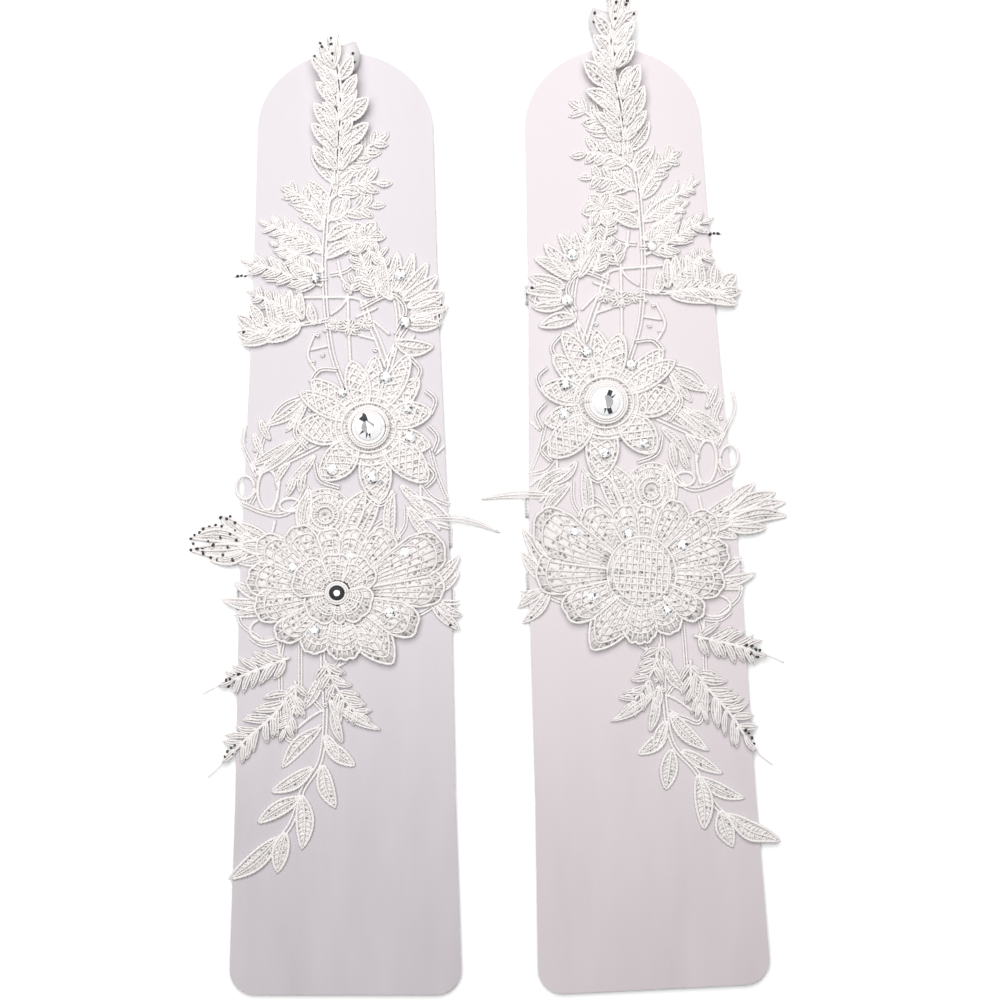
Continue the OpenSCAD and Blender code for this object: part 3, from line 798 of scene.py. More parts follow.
# Star flower
star = {"centre": (9.5, 29), "baseRing": 8, "maxWidth": 12.5, "cord": 0.6, "innerCord": 0.4,
  "netCord": 0.5, "netPitch": 2.7, "rings": (8.2, 10.4, 12.8, 15.2)}
starTips = [(-19, 29), (-18, 43), (-13.5, 48), (2.5, 55.5), (12, 57.5), (25.5, 58), (29.5, 48.5),
    (34.5, 35.5), (34, 21.5), (33, 7.5), (13.5, -1), (-9.5, 8.5)]

for side in sides:
    rng = rngFor(side, "star")
    work = newWork(side, layer1)
    cu, cv = star["centre"]
    angles = [math.atan2(v - cv, u - cu) for u, v in starTips]
    for i, (tu, tv) in enumerate(starTips):
        a = angles[i]
        base = (cu + star["baseRing"] * math.cos(a), cv + star["baseRing"] * math.sin(a))
        size = math.dist(base, (tu, tv))
        gaps = [abs((angles[(i + k) % 12] - a + math.pi) % (2 * math.pi) - math.pi) for k in (1, -1)]
        width = min(star["maxWidth"], 1.05 * sum(gaps) / 2 * (star["baseRing"] + 0.55 * size))
        width = max(width, 8)
        z = 0.5 * (i % 2)
        bend = rng.uniform(-0.8, 0.8)

        def domed(u, v, base=base, size=size, z=z):
            s = math.dist(base, (u, v)) / size
            return z + 0.8 * math.sin(math.pi * min(1, max(0, s)) * 0.9) - 0.4 * s

        def at(s, t, base=base, tip=(tu, tv), bend=bend):
            u, v = alongLeaf(base, tip, s, t, bend)
            return u, v, domed(u, v)

        steps = 16
        rim = [at(k / steps, leafHalf(k / steps, width, 0.8)) for k in range(1, steps + 1)]
        rim += [at(k / steps, -leafHalf(k / steps, width, 0.8)) for k in range(steps - 1, 0, -1)]
        cord(work, rim, star["cord"], knots=0.15)
        inner = [(k / steps * 0.88 + 0.02, leafHalf(k / steps, width - 3, 0.8)) for k in range(1, steps + 1)]
        ring = [at(s, t) for s, t in inner] + [at(s, -t) for s, t in inner[-2::-1]]
        cord(work, ring, star["innerCord"], -0.05)
        rows = [[at(k / steps, t * max(0.15, leafHalf(k / steps, width, 0.8))) for t in (-1, -0.5, 0, 0.5, 1)]
            for k in range(steps + 1)]
        ground(work, rows, -0.5)
        turn = math.degrees(a)
        net(work, [p[:2] for p in rim], (turn + 55, turn - 50), star["netPitch"], star["netCord"], rng,
            -0.15, domed)
    for i, r in enumerate(star["rings"]):
        sag = rng.uniform(0.94, 1.06)
        circle(work, (cu, cv), r * sag, r / sag, 1.35 - 0.25 * i, 40)
    ground(work, disc((cu, cv), (5.5, 9, 13, 16), 18, lambda r: 1.0 - 0.05 * r), -0.1)
    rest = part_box(side + "_crystal_setting")[1].z / mm - work["z"]
    for r in (6.4, 7.3, 8.2):
        circle(work, (cu, cv), r * rng.uniform(0.97, 1.03), r, rest - 0.5 * (r - 6.4), 36, 0.55, 0.3)
    for i in range(26):
        a = 2 * math.pi * i / 26 + rng.uniform(-0.05, 0.05)
        cord(work, [(cu + 7 * math.cos(a), cv + 7 * math.sin(a), 1.0),
            (cu + 15 * math.cos(a), cv + 15 * math.sin(a), 0.4)],
            0.36, 0, 5)
    stems(work, [([(-14, 47), (-10, 52), (-3, 52)], 1.8), ([(4, 54), (8, 50), (12, 56)], 1.8),
        ([(26, 57), (30, 52), (28, 47)], 1.8),
        ([(32, 44), (36, 40), (34, 34)], 1.8), ([(33, 30), (37, 25), (35, 19)], 1.8),
        ([(31, 16), (36, 10), (32, 5)], 1.8),
        ([(20, 3), (14, -2), (8, 2)], 1.8), ([(-2, 5), (-10, 8), (-12, 15)], 1.8),
        ([(-15, 20), (-20, 27), (-17, 35)], 1.8)], 0.2)
    finishLace(work, "star_flower")
print("finger, knuckle and star lace made")

# Side leaves, rosebud and outer cluster
sideLeaves = [(-14, 43, -32, 30, 6), (-15, 41, -24, 27, 5), (-16, 40, -20, 27, 4.5), (-15, 28, -36, 10, 6.5),
    (-12, 27, -30, 11, 5.5), (-20, 24, -38, 14, 5.5), (-30, 24, -34, 33, 4), (-33, 18, -37, 28, 4),
    (-12, 18, -24, 6, 5), (-20, 10, -24, 1, 4), (-16, 12, -18, 2, 4.5), (-22, 15, -28, 6, 4)]
sideStems = [([(-35.5, 12), (-30, 12.5), (-20, 17), (-10, 22)], 2.4),
    ([(-42, -1), (-34, -4.5), (-26, -6), (-19, -3)], 2), ([(-38, -2), (-35, 4)], 1.8),
    ([(-40, 1), (-40, -2)], 1.8), ([(-38, 15), (-35, 9)], 1.8), ([(-36, 12), (-41, 22), (-40, 30)], 1.8),
    ([(-15, 42), (-25, 38), (-31, 29), (-36, 14)], 1.8), ([(-26, 12), (-27, 3), (-29, -5)], 1.6),
    ([(-15, 6), (-19, -1), (-24, -6)], 1.8), ([(33, 24), (37, 10), (41, 0)], 1.8),
    ([(28, 12), (34, 2), (42, -2)], 1.8), ([(30, 8), (31, -2), (38, -12)], 1.6),
    ([(24, -2), (24, -10), (20, -16)], 1.8), ([(40, 22), (36, 18)], 1.4)]
rosebudLeaves = [(-2, -17, 8, 4, 9), (4, -18, 14, 3, 6), (18, -17, 19, 4, 5), (-17, -14, -14, 4, 6)]
clusterLeaves = [(-38, -15, -50, -6, 5), (-40, -15, -58, -11, 5.5), (-40, -17, -61.5, -15, 5.5),
    (-39, -19, -62, -20, 5.5), (-38, -20, -54, -24, 5), (-30, -16, -44, -9, 5), (-26, -18, -43, -18, 6),
    (-28, -20, -43, -25, 5)]

for side in sides:
    rng = rngFor(side, "sideLeaves")
    work = newWork(side, baseZ)
    leavesOf(work, [(a, b, c, d, w * 0.72) for a, b, c, d, w in sideLeaves], rng)
    oval(work, (-31, 4), 4.8, 8.8)
    oval(work, (-40, 5), 4.4, 5.4)
    oval(work, (-22, -2), 5, 3.4)
    stems(work, sideStems)
    picots(work, [(-20, 20), (-17, 15), (-28, 18), (-36, 20), (-14, 36)], rng, 1.2)
    finishLace(work, "side_leaves")

    rng = rngFor(side, "rosebud")
    work = newWork(side, baseZ)
    centre = (-8, -6)
    ground(work, disc(centre, (0.3, 4, 8, 11), 12, lambda r: 1.2 - 0.1 * r), -0.2)
    for i, r in enumerate((10.6, 8.8, 7, 5.2, 3.4)):
        start = 50 * i
        cord(work, [(u, v, 0.35 * i) for u, v in ringLine(centre, r * 1.04, r, start, start + 320, 22)], 0.5)
    for i in range(24):
        a = 2 * math.pi * i / 24
        swirl = a + 0.5
        cord(work, [(centre[0] + 2.6 * math.cos(a), centre[1] + 2.6 * math.sin(a), 1.2),
            (centre[0] + 6.5 * math.cos((a + swirl) / 2), centre[1] + 6.5 * math.sin((a + swirl) / 2), 0.7),
            (centre[0] + 10.4 * math.cos(swirl), centre[1] + 10.4 * math.sin(swirl), 0)], 0.3, 0, 5)
    leavesOf(work, rosebudLeaves, rng, 0.2)
    stem(work, [(-2, -16), (6, -18), (19, -18)], 3)
    stem(work, [(6, -16), (16, -8), (22, -16)], 1.8)
    finishLace(work, "rosebud")

    rng = rngFor(side, "cluster")
    work = newWork(side, baseZ)
    leavesOf(work, clusterLeaves, rng)
    stems(work, [([(-26, -18), (-40, -16.5)], 2.2), ([(-28, -8), (-30, -16)], 1.6),
        ([(-33, -24), (-36, -30), (-33, -36)], 1.8)])
    finishLace(work, "outer_cluster")

# Peony
peony = {"centre": (-3, -37), "rim": 0.6, "second": 0.42, "vein": 0.32, "barPitch": 2.1, "band": 3.6}
# start angle, end angle, reach, inner reach, scallops along the rim, comb of bars
backPetals = [(-10, 16, 42, 12, 3, False), (10, 38, 46, 12, 3, False), (34, 62, 32, 12, 3, False),
    (58, 88, 26, 12, 3, False), (84, 114, 25, 12, 2, False), (110, 140, 31, 12, 3, False),
    (134, 160, 37, 12, 3, False), (155, 184, 36, 12, 4, True)]
frontPetals = [(176, 206, 33, 11, 3, True), (204, 232, 29, 11, 3, False), (228, 262, 25.5, 11, 4, True),
    (258, 296, 26.5, 11, 5, True), (290, 326, 36, 12, 1, False), (322, 352, 34, 12, 2, False)]
innerPetals = [(10, 72, 17, 4, 2, True), (64, 122, 15, 4, 2, False), (116, 186, 18, 4, 3, True),
    (250, 300, 12.5, 4, 1, False), (180, 262, 13.5, 4, 3, False), (288, 372, 14, 4, 3, False)]


def fanPetal(work, row, rng, z):
    # A petal that fans out from the peony's heart, with veins, a double rim and a comb of bars along it
    start, end, reach, inner, scallops, comb = row
    cu, cv = peony["centre"]
    wobble = rng.uniform(-0.6, 0.6)

    def at(t, r):
        # t runs across the petal, r from the heart (0) to the rim (1)
        square = 1 - 0.22 * abs(2 * t - 1) ** 3
        rim = reach * square + 0.8 * abs(math.sin(math.pi * t * scallops)) * r ** 3 + wobble * math.sin(5 * t)
        if scallops == 1:
            rim = reach * (1 - 0.32 * abs(2 * t - 1) ** 1.2)
        far = between(r, inner, rim)
        a = math.radians(between(t, start, end))
        height = z + 1.5 * math.sin(math.pi * (0.15 + 0.75 * r)) - 0.5 * abs(2 * t - 1) ** 2
        return cu + far * math.cos(a), cv + far * math.sin(a), height

    arcLength = math.radians(end - start) * reach * 0.9
    across = max(10, round(arcLength / 1.05))
    deep = max(6, round((reach - inner) / 1.1))
    edge = [at(0, r / deep) for r in range(1, deep)] + [at(i / across, 1) for i in range(across + 1)]
    edge += [at(1, r / deep) for r in range(deep - 1, 0, -1)]
    cord(work, edge, peony["rim"], knots=0.15)
    inset = peony["band"] / max(1, reach - inner)
    cord(work, [at(0.06 + 0.88 * i / across, 1 - inset) for i in range(across + 1)], peony["second"], 0.05)
    rows = [[at(i / 8, r) for i in range(9)] for r in (0.02, 0.25, 0.5, 0.75, 0.98)]
    ground(work, rows, -0.45)
    bars = max(4, round(arcLength / (peony["barPitch"] if comb else 3.2)))
    for i in range(bars):
        t = (i + 0.5) / bars
        cord(work, [at(t, 1 - inset), at(t, 0.995)], 0.42 if comb else 0.3, -0.05, 5)
    veins = max(3, round(arcLength / 3))
    for i in range(veins):
        t = (i + 0.5) / veins
        cord(work, [at(t, r) for r in (0.05, 0.3, 0.55, 1 - inset)], peony["vein"] * rng.uniform(0.9, 1.3),
            -0.05, 5)
    for k in range(1, 5):
        r = k / 5 * (1 - inset)
        cord(work, [at(0.04 + 0.92 * i / across, r + 0.02 * math.sin(i)) for i in range(across + 1)], 0.34,
            0, 5)


for side in sides:
    rng = rngFor(side, "peonyBack")
    work = newWork(side, layer1)
    for i, row in enumerate(backPetals):
        fanPetal(work, row, rng, 0.4 * (i % 2))
    finishLace(work, "peony_back", "net", "corded_net")

    rng = rngFor(side, "peonyFront")
    work = newWork(side, layer2)
    for i, row in enumerate(frontPetals):
        fanPetal(work, row, rng, 0.4 * (i % 2))
    cu, cv = peony["centre"]
    if side == "left":
        for i, row in enumerate(innerPetals):
            fanPetal(work, row, rng, 0.9 + 0.4 * (i % 3))
        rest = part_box("left_small_setting")[1].z / mm - work["z"]
        for r in (3.6, 4.5):
            circle(work, (cu, cv), r, r * 0.96, rest - 0.4 * (r - 3.6), 26, 0.5, 0.3)
    else:
        ground(work, disc((cu, cv), (0.3, 4, 8, 14.5), 12, lambda r: 1.9 - 0.08 * r), 0.2)
        for i, r in enumerate((14.5, 12)):
            circle(work, (cu, cv), r, r * 0.95, 1.0 + 0.3 * i, 36)
        net(work, ringLine((cu, cv), 13.6, 13, 0, 350, 35), (8, 98), 2.6, 0.46, rng, 1.4,
            lambda u, v: 0.8 - 0.06 * math.dist((u, v), peony["centre"]))
    finishLace(work, "peony_front")
print("side leaves, rosebud and peony lace made")

# Edge leaves, hem ferns and hem spray
edgeLeaves = [(32, -36, 45.5, -22, 5), (35, -37, 45.5, -29, 4.5), (34, -40, 45.5, -52, 4.5),
    (36, -40, 47, -46, 4), (-27, -41, -49, -40, 5), (-29, -40, -44, -33, 5), (-29, -44, -44, -46, 4.5),
    (24, 3, 40, -10, 4.5), (25, -3, 38, -17, 4.5), (22, 6, 33, -4, 4)]
edgeStems = [([(24, -34), (30, -36.5), (37, -40.5), (46, -41)], 2.4),
    ([(24, -47), (30, -45.5), (36, -42)], 1.9), ([(-28, -41), (-32, -44), (-33, -48)], 1.8),
    ([(-26.5, -51), (-20, -49)], 1.8), ([(-33, -56), (-41, -50), (-43, -45)], 1.8),
    ([(26, -2), (36, -9), (42, -11)], 2), ([(24, 2), (34, 0), (42, -7)], 1.6),
    ([(-27, -57), (-33, -58), (-38, -55)], 1.8)]
hemLeaves = [(-10, -91, -25, -107, 6), (-8, -97, 4, -106, 6), (-13, -107, -29, -117, 6),
    (-9, -106, -4, -123, 6.5), (-18, -119, -34.5, -129, 6), (-17.5, -118, -17.5, -139.5, 7),
    (-24, -133, -27, -149, 6.5), (-27, -135, -46, -151.5, 7), (-9.5, -70, -17, -84, 4.5),
    (-8, -94, -3, -105, 5)]
hemStems = [([(-9, -54), (-9, -66), (-8, -86), (-10, -104), (-17, -116), (-22, -130), (-29, -138)], 2.4),
    ([(-18, -54), (-18, -76)], 1.9), ([(-24, -54), (-26, -66), (-24, -94), (-16, -94), (-9, -90)], 1.9),
    ([(-24, -80), (-18, -76), (-9, -84)], 1.9), ([(-3, -56), (-2, -63), (-5, -68)], 1.8),
    ([(2, -58), (1, -64), (-4, -67)], 1.6), ([(-27, -56), (-26, -64)], 1.6),
    ([(-20, -92), (-14, -87), (-9, -84)], 1.5)]
fernSprigs = [([(-22, -63), (-30, -66), (-38, -69), (-45, -72)], 9.5, 3.0, 3.7, 46),
    ([(-21, -75), (-26, -83), (-33, -90), (-40, -96), (-44, -100)], 11, 3.0, 3.8, 44),
    ([(-8, -64), (-5, -72), (0, -80), (6, -86)], 8.5, 3.0, 3.6, 48),
    ([(-20, -72), (-20, -82), (-24, -92)], 7.5, 2.8, 3.8, 42)]

for side in sides:
    rng = rngFor(side, "edge")
    work = newWork(side, baseZ)
    leavesOf(work, edgeLeaves, rng)
    leaf(work, (29, -8), (62, -13), 2.6, rng, rungs=False, outline=0.8, filled=False)
    stems(work, edgeStems)
    oval(work, (-32, -52), 6.8, 5.2)
    finishLace(work, "edge_leaves")

    rng = rngFor(side, "ferns")
    work = newWork(side, layer1)
    for points, long, wide, pitch, angle in fernSprigs:
        sprig(work, points, rng, long, wide, pitch, angle, shrink=0.75, first=2, rungs=False, outline=0.85)
    leavesOf(work, [(-4, -82, 14, -92, 3.6), (-5, -84, -1, -97, 4), (-6, -80, -2, -90, 4)], rng)
    picots(work, [(-6, -68), (-3, -70), (-7, -74), (-5, -78), (-1, -73), (-8, -82)], rng, 1.3)
    cord(work, curveThrough([(-46, -72.4), (-52, -75), (-57, -77.5)], 1), 0.3, 0, 5)
    cord(work, curveThrough([(-44.5, -100.5), (-50, -106.5), (-55, -111)], 1), 0.3, 0, 5)
    finishLace(work, "hem_ferns", "net", "corded_net")

    rng = rngFor(side, "hem")
    work = newWork(side, baseZ)
    stems(work, hemStems)
    leavesOf(work, hemLeaves, rng)
    finishLace(work, "hem_spray")
print("hem lace made")

# Stones, sequins and settings
# The spangle tones are painted reflections and glints on the sequin facets, dark to white; the streak
# settings place the large stones' painted dark reflection
gems = {"largeRadius": 6.3, "largeHeight": 4.2, "smallRadius": 2.9, "smallHeight": 3, "sequinRadius": 2.3,
    "sequinHeight": 1, "reflectionStreakMiddle": (-0.12, 0.05), "reflectionStreakHalf": (0.34, 0.8),
    "spangleReflectionTones": (0.12, 0.5, 0.6, 0.68, 0.75, 0.95)}
sequinSpots = [(22, 90, 1), (-12, 88.5, 1), (24, 71, 1), (-5, 12, 1), (25, 36.5, 1), (26, 25, 1), (16, 49, 1),
    (-1, 43, 1), (11, 9, 1), (-21, -27, 1), (2, -22, 1), (24, -21, 1), (18, -45, 2), (-12, -52, 2)]


def seat(node, rise):
    low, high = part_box(node)
    return Vector(((low.x + high.x) / 2, (low.y + high.y) / 2, low.z + rise))


def cutStoneMesh(name, centre, radius, height, around, rng, reflectionTonesFor, darkReflectionBlot=None, rimReflectionTone=None):
    # A round stone cut by hand: girdle, two turned crowns and a table, split into triangles
    bpy.ops.object.select_all(action="DESELECT")
    bpy.ops.mesh.primitive_cylinder_add(vertices=around, radius=radius, depth=height * 0.3, location=centre,
        end_fill_type="NGON")
    gem = bpy.context.object
    gem.name = gem.data.name = name
    editFaces(gem, lambda face: face.normal.z > 0.9)
    half = math.pi / around
    for share, rise in ((0.80, 0.30), (0.52, 0.25)):
        bpy.ops.mesh.extrude_region_move(TRANSFORM_OT_translate={"value": (0, 0, height * rise)})
        bpy.ops.transform.resize(value=(share, share, 1), center_override=centre)
        bpy.ops.transform.rotate(value=half, orient_axis="Z", center_override=centre)
    bpy.ops.mesh.select_all(action="SELECT")
    bpy.ops.mesh.quads_convert_to_tris(quad_method="SHORTEST_DIAGONAL", ngon_method="BEAUTY")
    bpy.ops.object.mode_set(mode="OBJECT")
    bpy.ops.object.transform_apply(location=True, rotation=True, scale=True)
    facet = gem.data.attributes.new("facet", "FLOAT", "FACE")
    # The operators leave the facets in no fixed order, so they are taken in order of where they are
    ordered = sorted(gem.data.polygons,
        key=lambda face: (face.center - centre).dot(Vector((1, 1.618, 2.718))))
    tones = [0.0] * len(ordered)
    # Each facet gets a painted reflection tone, from near black to near white
    for face in ordered:
        d = face.center - centre
        reflectionTone = rng.choice(reflectionTonesFor)
        if darkReflectionBlot is not None:
            # A slanting streak of facets painted dark as a reflection, with a few painted light reflections
            # in it
            away = math.hypot((d.x / radius - darkReflectionBlot[0] * (1 + d.y / radius)) / gems["reflectionStreakHalf"][0],
                (d.y / radius - darkReflectionBlot[1]) / gems["reflectionStreakHalf"][1])
            reach, light = rng.uniform(0.55, 1.3), rng.uniform(0.9, 1.0)
            reflectionTone = 0.0 if away < reach else light
        # Facets round the rim get one painted reflection tone; the small stone's rim is painted black
        if rimReflectionTone is not None and face.normal.z < 0.97:
            reflectionTone = rimReflectionTone
        tones[face.index] = reflectionTone
    facet.data.foreach_set("value", tones)
    gem.data.materials.append(cutStone)
    return gem


for side in sides:
    rng = rngFor(side, "gems")
    mirror = -1 if side == "right" else 1
    reflectionStreak = (gems["reflectionStreakMiddle"][0] * mirror, gems["reflectionStreakMiddle"][1])
    gem = cutStoneMesh(side + "LargeCrystalStone", seat(side + "_large_crystal", 0.0006),
        gems["largeRadius"] * mm, gems["largeHeight"] * mm, 18, rng, (1,), reflectionStreak)
    finishPiece(gem, side + "_glove", "crystal", side + "_large_crystal")
    if side == "left":
        gem = cutStoneMesh("leftSmallCrystalStone", seat("left_small_crystal", 0.0004),
            gems["smallRadius"] * mm, gems["smallHeight"] * mm, 12, rng, (0.95, 1.0), rimReflectionTone=0)
        finishPiece(gem, "left_glove", "crystal", "left_small_crystal")
    parts = []
    for i, (u, v, level) in enumerate(sequinSpots):
        at = place(side, u, v, layer1 + level * 0.8 + 1.1, hang=False)
        radius = gems["sequinRadius"] * mm * rng.uniform(0.85, 1.1)
        parts.append(cutStoneMesh(side + "Spangle" + str(i), at, radius, gems["sequinHeight"] * mm, 9, rng,
            gems["spangleReflectionTones"]))
    selectOnly(parts)
    bpy.ops.object.join()
    bpy.context.object.name = bpy.context.object.data.name = side + "Spangles"
    finishPiece(bpy.context.object, side + "_glove", "sequin_film", side + "_sequins")
for name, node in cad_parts.items():
    if "setting" in name:
        node.data.materials.clear()
        node.data.materials.append(oxideMetal if "small" in name else platedMetal)
# Near-black beads on the ends of the lace that hang past the insert: painted shade, small dark beads put
# where dark specks of shadow lie on those lace ends
beads = {"radius": 0.68, "length": 1.1, "clear": 1.0,
    "profile": ((-0.5, 0.35), (-0.38, 0.85), (0, 1), (0.38, 0.85), (0.5, 0.35))}
beadSpots = [(-9.3, 181), (-8.7, 179.6), (-11.6, 176), (-5, 183), (-5, 180.6), (-4.4, 177), (-4.4, 174.4),
    (3.6, 177), (4.2, 173.6), (-43, 89.5), (-41.4, 89.7), (-39.8, 89.4), (-40, 95), (-40.5, 67), (38.5, 78),
    (-42.5, -69.5), (-44.5, -70), (-46, -71.5), (-47.5, -72), (-44, -73), (-46.5, -74.5), (-44, -98),
    (-45.5, -99), (-47, -100.5), (-45, -101.5), (-48, -102.5), (42, -50)]
clusterBeads = [(-46, -6.5), (-47.5, -7.5), (-50, -7), (-44, -9), (-49.5, -10.5), (-52, -10), (-54.5, -10.5),
    (-57, -11.5), (-58.5, -13), (-60.5, -14), (-62, -15.5), (-61, -17.5), (-62, -20), (-59.5, -19.5),
    (-57, -21.5), (-55, -16.5), (-53, -18), (-54, -23), (-51.5, -24), (-49, -22), (-47, -19), (-50, -15),
    (-46, -13.5), (-44, -12), (-43.5, -16), (-45, -24)]
lowBeads = clusterBeads + [(42, -50)]
tipRise = {"slope": (finger["tipFrom"], finger["tipSlope"])}
for side in sides:
    rng = rngFor(side, "beads")
    work = newWork(side, 0)
    for u, v in beadSpots + (clusterBeads if side == "left" else []):
        under = baseZ if (u, v) in lowBeads else layer1
        at = place(side, u, v, under + beads["clear"] + lift(tipRise, v))
        a = rng.uniform(0, math.pi)
        run = Vector((math.cos(a), math.sin(a), 0)) * beads["length"] * mm
        size = beads["radius"] * rng.uniform(0.55, 1.25)
        addTube(work, [at + run * t for t, _ in beads["profile"]], [size * k for _, k in beads["profile"]],
            8, 1)
    finishPiece(meshFrom(side + "ShadowSpeckBeads", work, shadowSpeckBead), side + "_glove", "sequin_film")
print("stones set")


# Inserts, bands and finger loops
insert = {"edgeBand": 0.0012}


def insertPiece(side):
    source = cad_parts[side + "_card"]
    piece = bpy.data.objects.new(side + "InsertSheet", source.data.copy())
    bpy.context.scene.collection.objects.link(piece)
    selectOnly([piece])
    bpy.ops.object.mode_set(mode="EDIT")
    bpy.ops.mesh.select_mode(type="FACE")
    bpy.ops.mesh.select_all(action="SELECT")
    bpy.ops.mesh.remove_doubles(threshold=0.00001)
    bpy.ops.mesh.dissolve_limited(angle_limit=math.radians(0.5))
    bpy.ops.object.mode_set(mode="OBJECT")
    editFaces(piece, lambda face: face.normal.z > 0.9)
    bpy.ops.mesh.inset(thickness=insert["edgeBand"], depth=0)
    bpy.ops.object.mode_set(mode="OBJECT")
    piece.data.materials.clear()
    piece.data.materials.append(glossyInsert[side])
    bpy.ops.object.shade_smooth_by_angle(angle=math.radians(25))
    editFaces(piece, lambda face: abs(face.normal.z) > 0.99)
    bpy.ops.mesh.faces_shade_flat()
    bpy.ops.object.mode_set(mode="OBJECT")
    finishPiece(piece, side + "_insert", "insert_sheet", side + "_card")


def strapPiece(name, rows, thickness, material, body, slot, node):
    # rows of points across the strap, in metres, one row per step along it
    work = {"verts": [], "faces": [], "uvs": []}
    count, wide = len(rows), len(rows[0])
    along = [0.0]
    for i in range(1, count):
        along.append(along[-1] + (rows[i][0] - rows[i - 1][0]).length / mm)
    across = [(rows[0][j] - rows[0][0]).length / mm for j in range(wide)]
    for row in rows:
        work["verts"] += row
    for i in range(count - 1):
        for j in range(wide - 1):
            a = i * wide + j
            work["faces"].append((a, a + 1, a + wide + 1, a + wide))
            work["uvs"] += [(along[i], across[j]), (along[i], across[j + 1]), (along[i + 1], across[j + 1]),
                (along[i + 1], across[j])]
    piece = meshFrom(name, work, material)
    selectOnly([piece])
    solid = piece.modifiers.new("cloth", "SOLIDIFY")
    solid.thickness = thickness
    solid.offset = 0
    bpy.ops.object.modifier_apply(modifier="cloth")
    return finishPiece(piece, body, slot, node)


band = {"half": 0.004, "thick": 0.0006, "cadThick": 0.0007, "corner": 0.0012, "steps": 40,
    "leanClear": 0.0004}
loop = {"cutLength": 0.036, "tuckedEnd": -0.005, "openEnd": 0.0098, "tuckedTop": 0.003, "tuckedFoot": -0.003,
    "openTop": 0.0088, "openFoot": -0.0030, "thick": 0.0005, "steps": 40, "crease": 0.0007, "bulge": 0.0016,
    "lowest": -0.0042}


def bandPath(node):
    low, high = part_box(node)
    t = band["cadThick"]
    x0, x1, z0, z1 = low.x + t / 2, high.x - t / 2, low.z + t / 2, high.z - t / 2
    corner = band["corner"]
    path = [(x0, z1), (x0, (z0 + z1) / 2), (x0, z0 + corner)]
    path += [(x0 + corner * (1 - math.cos(a)), z0 + corner * (1 - math.sin(a))) for a in (0.5, 1.0, 1.57)]
    steps = band["steps"]
    path += [(between(i / steps, x0 + corner, x1 - corner), z0) for i in range(1, steps)]
    path += [(x1 - corner * (1 - math.cos(a)), z0 + corner * (1 - math.sin(a))) for a in (1.57, 1.0, 0.5)]
    path += [(x1, z0 + corner), (x1, (z0 + z1) / 2), (x1, z1)]
    return path, low, high


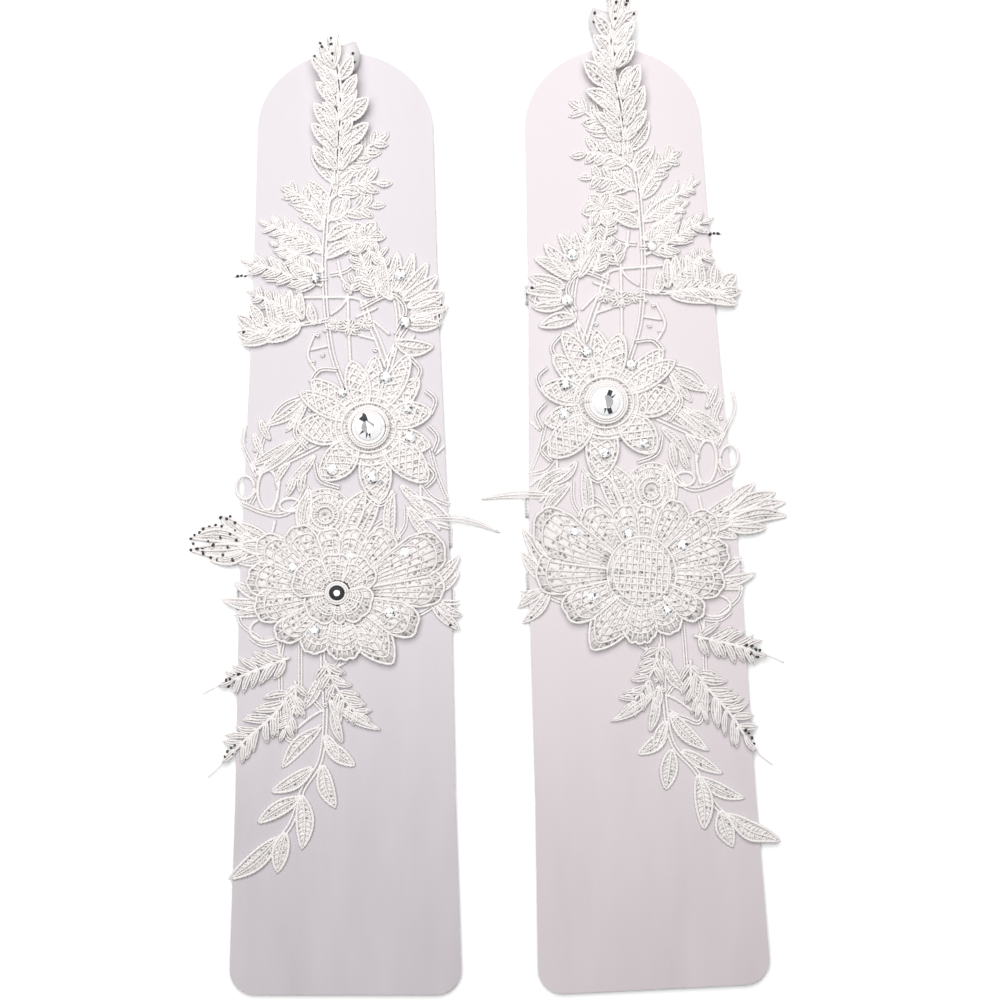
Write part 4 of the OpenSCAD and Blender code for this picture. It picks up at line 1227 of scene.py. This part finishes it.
bandNodes = ("palm_band", "wrist_band", "forearm_band")
for side in sides:
    insertPiece(side)
    for node in bandNodes:
        path, low, high = bandPath(side + "_" + node)
        lean = 0 if side == "left" else math.radians(layout["insertLean"])
        centre = Vector(((low.x + high.x) / 2, (low.y + high.y) / 2, 0))
        wide = high.x - low.x
        rows = []
        for x, z in path:
            row = []
            for j in range(5):
                # The band follows the insert's lean
                across = between(j / 4, -band["half"], band["half"])
                shorter = 1 - (band["leanClear"] if lean else 0) / wide
                along = (x - centre.x) / max(1e-9, math.cos(lean)) * shorter
                dx, dy = turned(along, across, math.degrees(lean))
                row.append(Vector((centre.x + dx, centre.y + dy, z)))
            rows.append(row)
        strapPiece(titled(side, node, "Elastic"), rows, band["thick"], elasticWeave, side + "_glove",
            "elastic", side + "_" + node)
    low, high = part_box(side + "_finger_loop")
    hand = 1 if side == "left" else -1
    rest = (low.z + high.z) / 2
    rows = []
    for k in range(loop["steps"] + 1):
        a = 2 * math.pi * k / loop["steps"]
        x = between((1 + math.cos(a)) / 2, loop["tuckedEnd"], loop["openEnd"])
        rise = (high.z - low.z - band["cadThick"]) / 2 * math.sin(a) * abs(math.sin(a)) ** 0.2
        share = (1 + math.cos(a)) / 2
        row = []
        for j in range(7):
            t = j / 6
            crease = loop["crease"] * math.sin(3 * math.pi * t) * share * max(0, math.sin(a))
            top, foot = (between(share, loop["tucked" + end], loop["open" + end]) for end in ("Top", "Foot"))
            y = between(t, top, foot)
            spotX = (low.x + high.x) / 2 + hand * (x + loop["bulge"] * math.sin(math.pi * t) * share)
            row.append(Vector((spotX, (low.y + high.y) / 2 + y, rest + max(loop["lowest"], rise - crease))))
        rows.append(row if side == "left" else row[::-1])
    ribbon = strapPiece(side + "FingerLoopRibbon", rows, loop["thick"], satinRibbon, side + "_glove",
        "satin_ribbon",
        side + "_finger_loop")
    # The ribbon is cut wide in its middle, which is the open end, and narrow at both tucked ends
    wide, narrow = loop["openTop"] - loop["openFoot"], loop["tuckedTop"] - loop["tuckedFoot"]
print("inserts, bands and loops made")

# Floor, light and camera
studio = {"keyPower": 26.5, "keyHeight": 1.15, "keyX": -0.14, "keyY": 0.5, "keySize": (1.1, 1.35),
    "fill": 0.12,
    "floorSize": 6, "floorDrop": 0.0002, "floorTone": 0.97, "lens": 85, "sensor": 36, "field": 0.4,
    "aim": (0.003, 0.0004, 0.003)}
bpy.ops.object.select_all(action="DESELECT")
bpy.ops.mesh.primitive_plane_add(size=studio["floorSize"], location=(0, 0, -studio["floorDrop"]))
floor = bpy.context.object
floor.name = "studioFloor"
paper, tree, shader = newMaterial("studioPaper")
dial(shader, {"Base Color": (*grey(studio["floorTone"]), 1), "Roughness": 0.9})
floor.data.materials.append(paper)
floor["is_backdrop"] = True

keyData = bpy.data.lights.new("softboxOverHead", "AREA")
keyData.shape = "RECTANGLE"
keyData.size, keyData.size_y = studio["keySize"]
keyData.energy = studio["keyPower"]
key = bpy.data.objects.new("softboxOverHead", keyData)
key.location = (studio["keyX"], studio["keyY"], studio["keyHeight"])
bpy.context.scene.collection.objects.link(key)

world = bpy.data.worlds.new("studioWorld")
world.use_nodes = True
dial(world.node_tree.nodes["Background"], {"Color": (1, 1, 1, 1), "Strength": studio["fill"]})
bpy.context.scene.world = world
bpy.context.scene.view_settings.view_transform = "Standard"
bpy.context.scene.view_settings.look = "None"

camData = bpy.data.cameras.new("topCamera")
camData.lens = studio["lens"]
camData.sensor_width = studio["sensor"]
camData.clip_start, camData.clip_end = 0.01, 20
cam = bpy.data.objects.new("topCamera", camData)
aimX, aimY, aimZ = studio["aim"]
cam.location = (aimX, aimY, aimZ + studio["field"] / (studio["sensor"] / studio["lens"]))
bpy.context.scene.collection.objects.link(cam)
bpy.context.scene.camera = cam
print("camera and light set")

low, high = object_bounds()
{"cad": [list(cadLow), list(cadHigh)], "visual": [list(low), list(high)]}
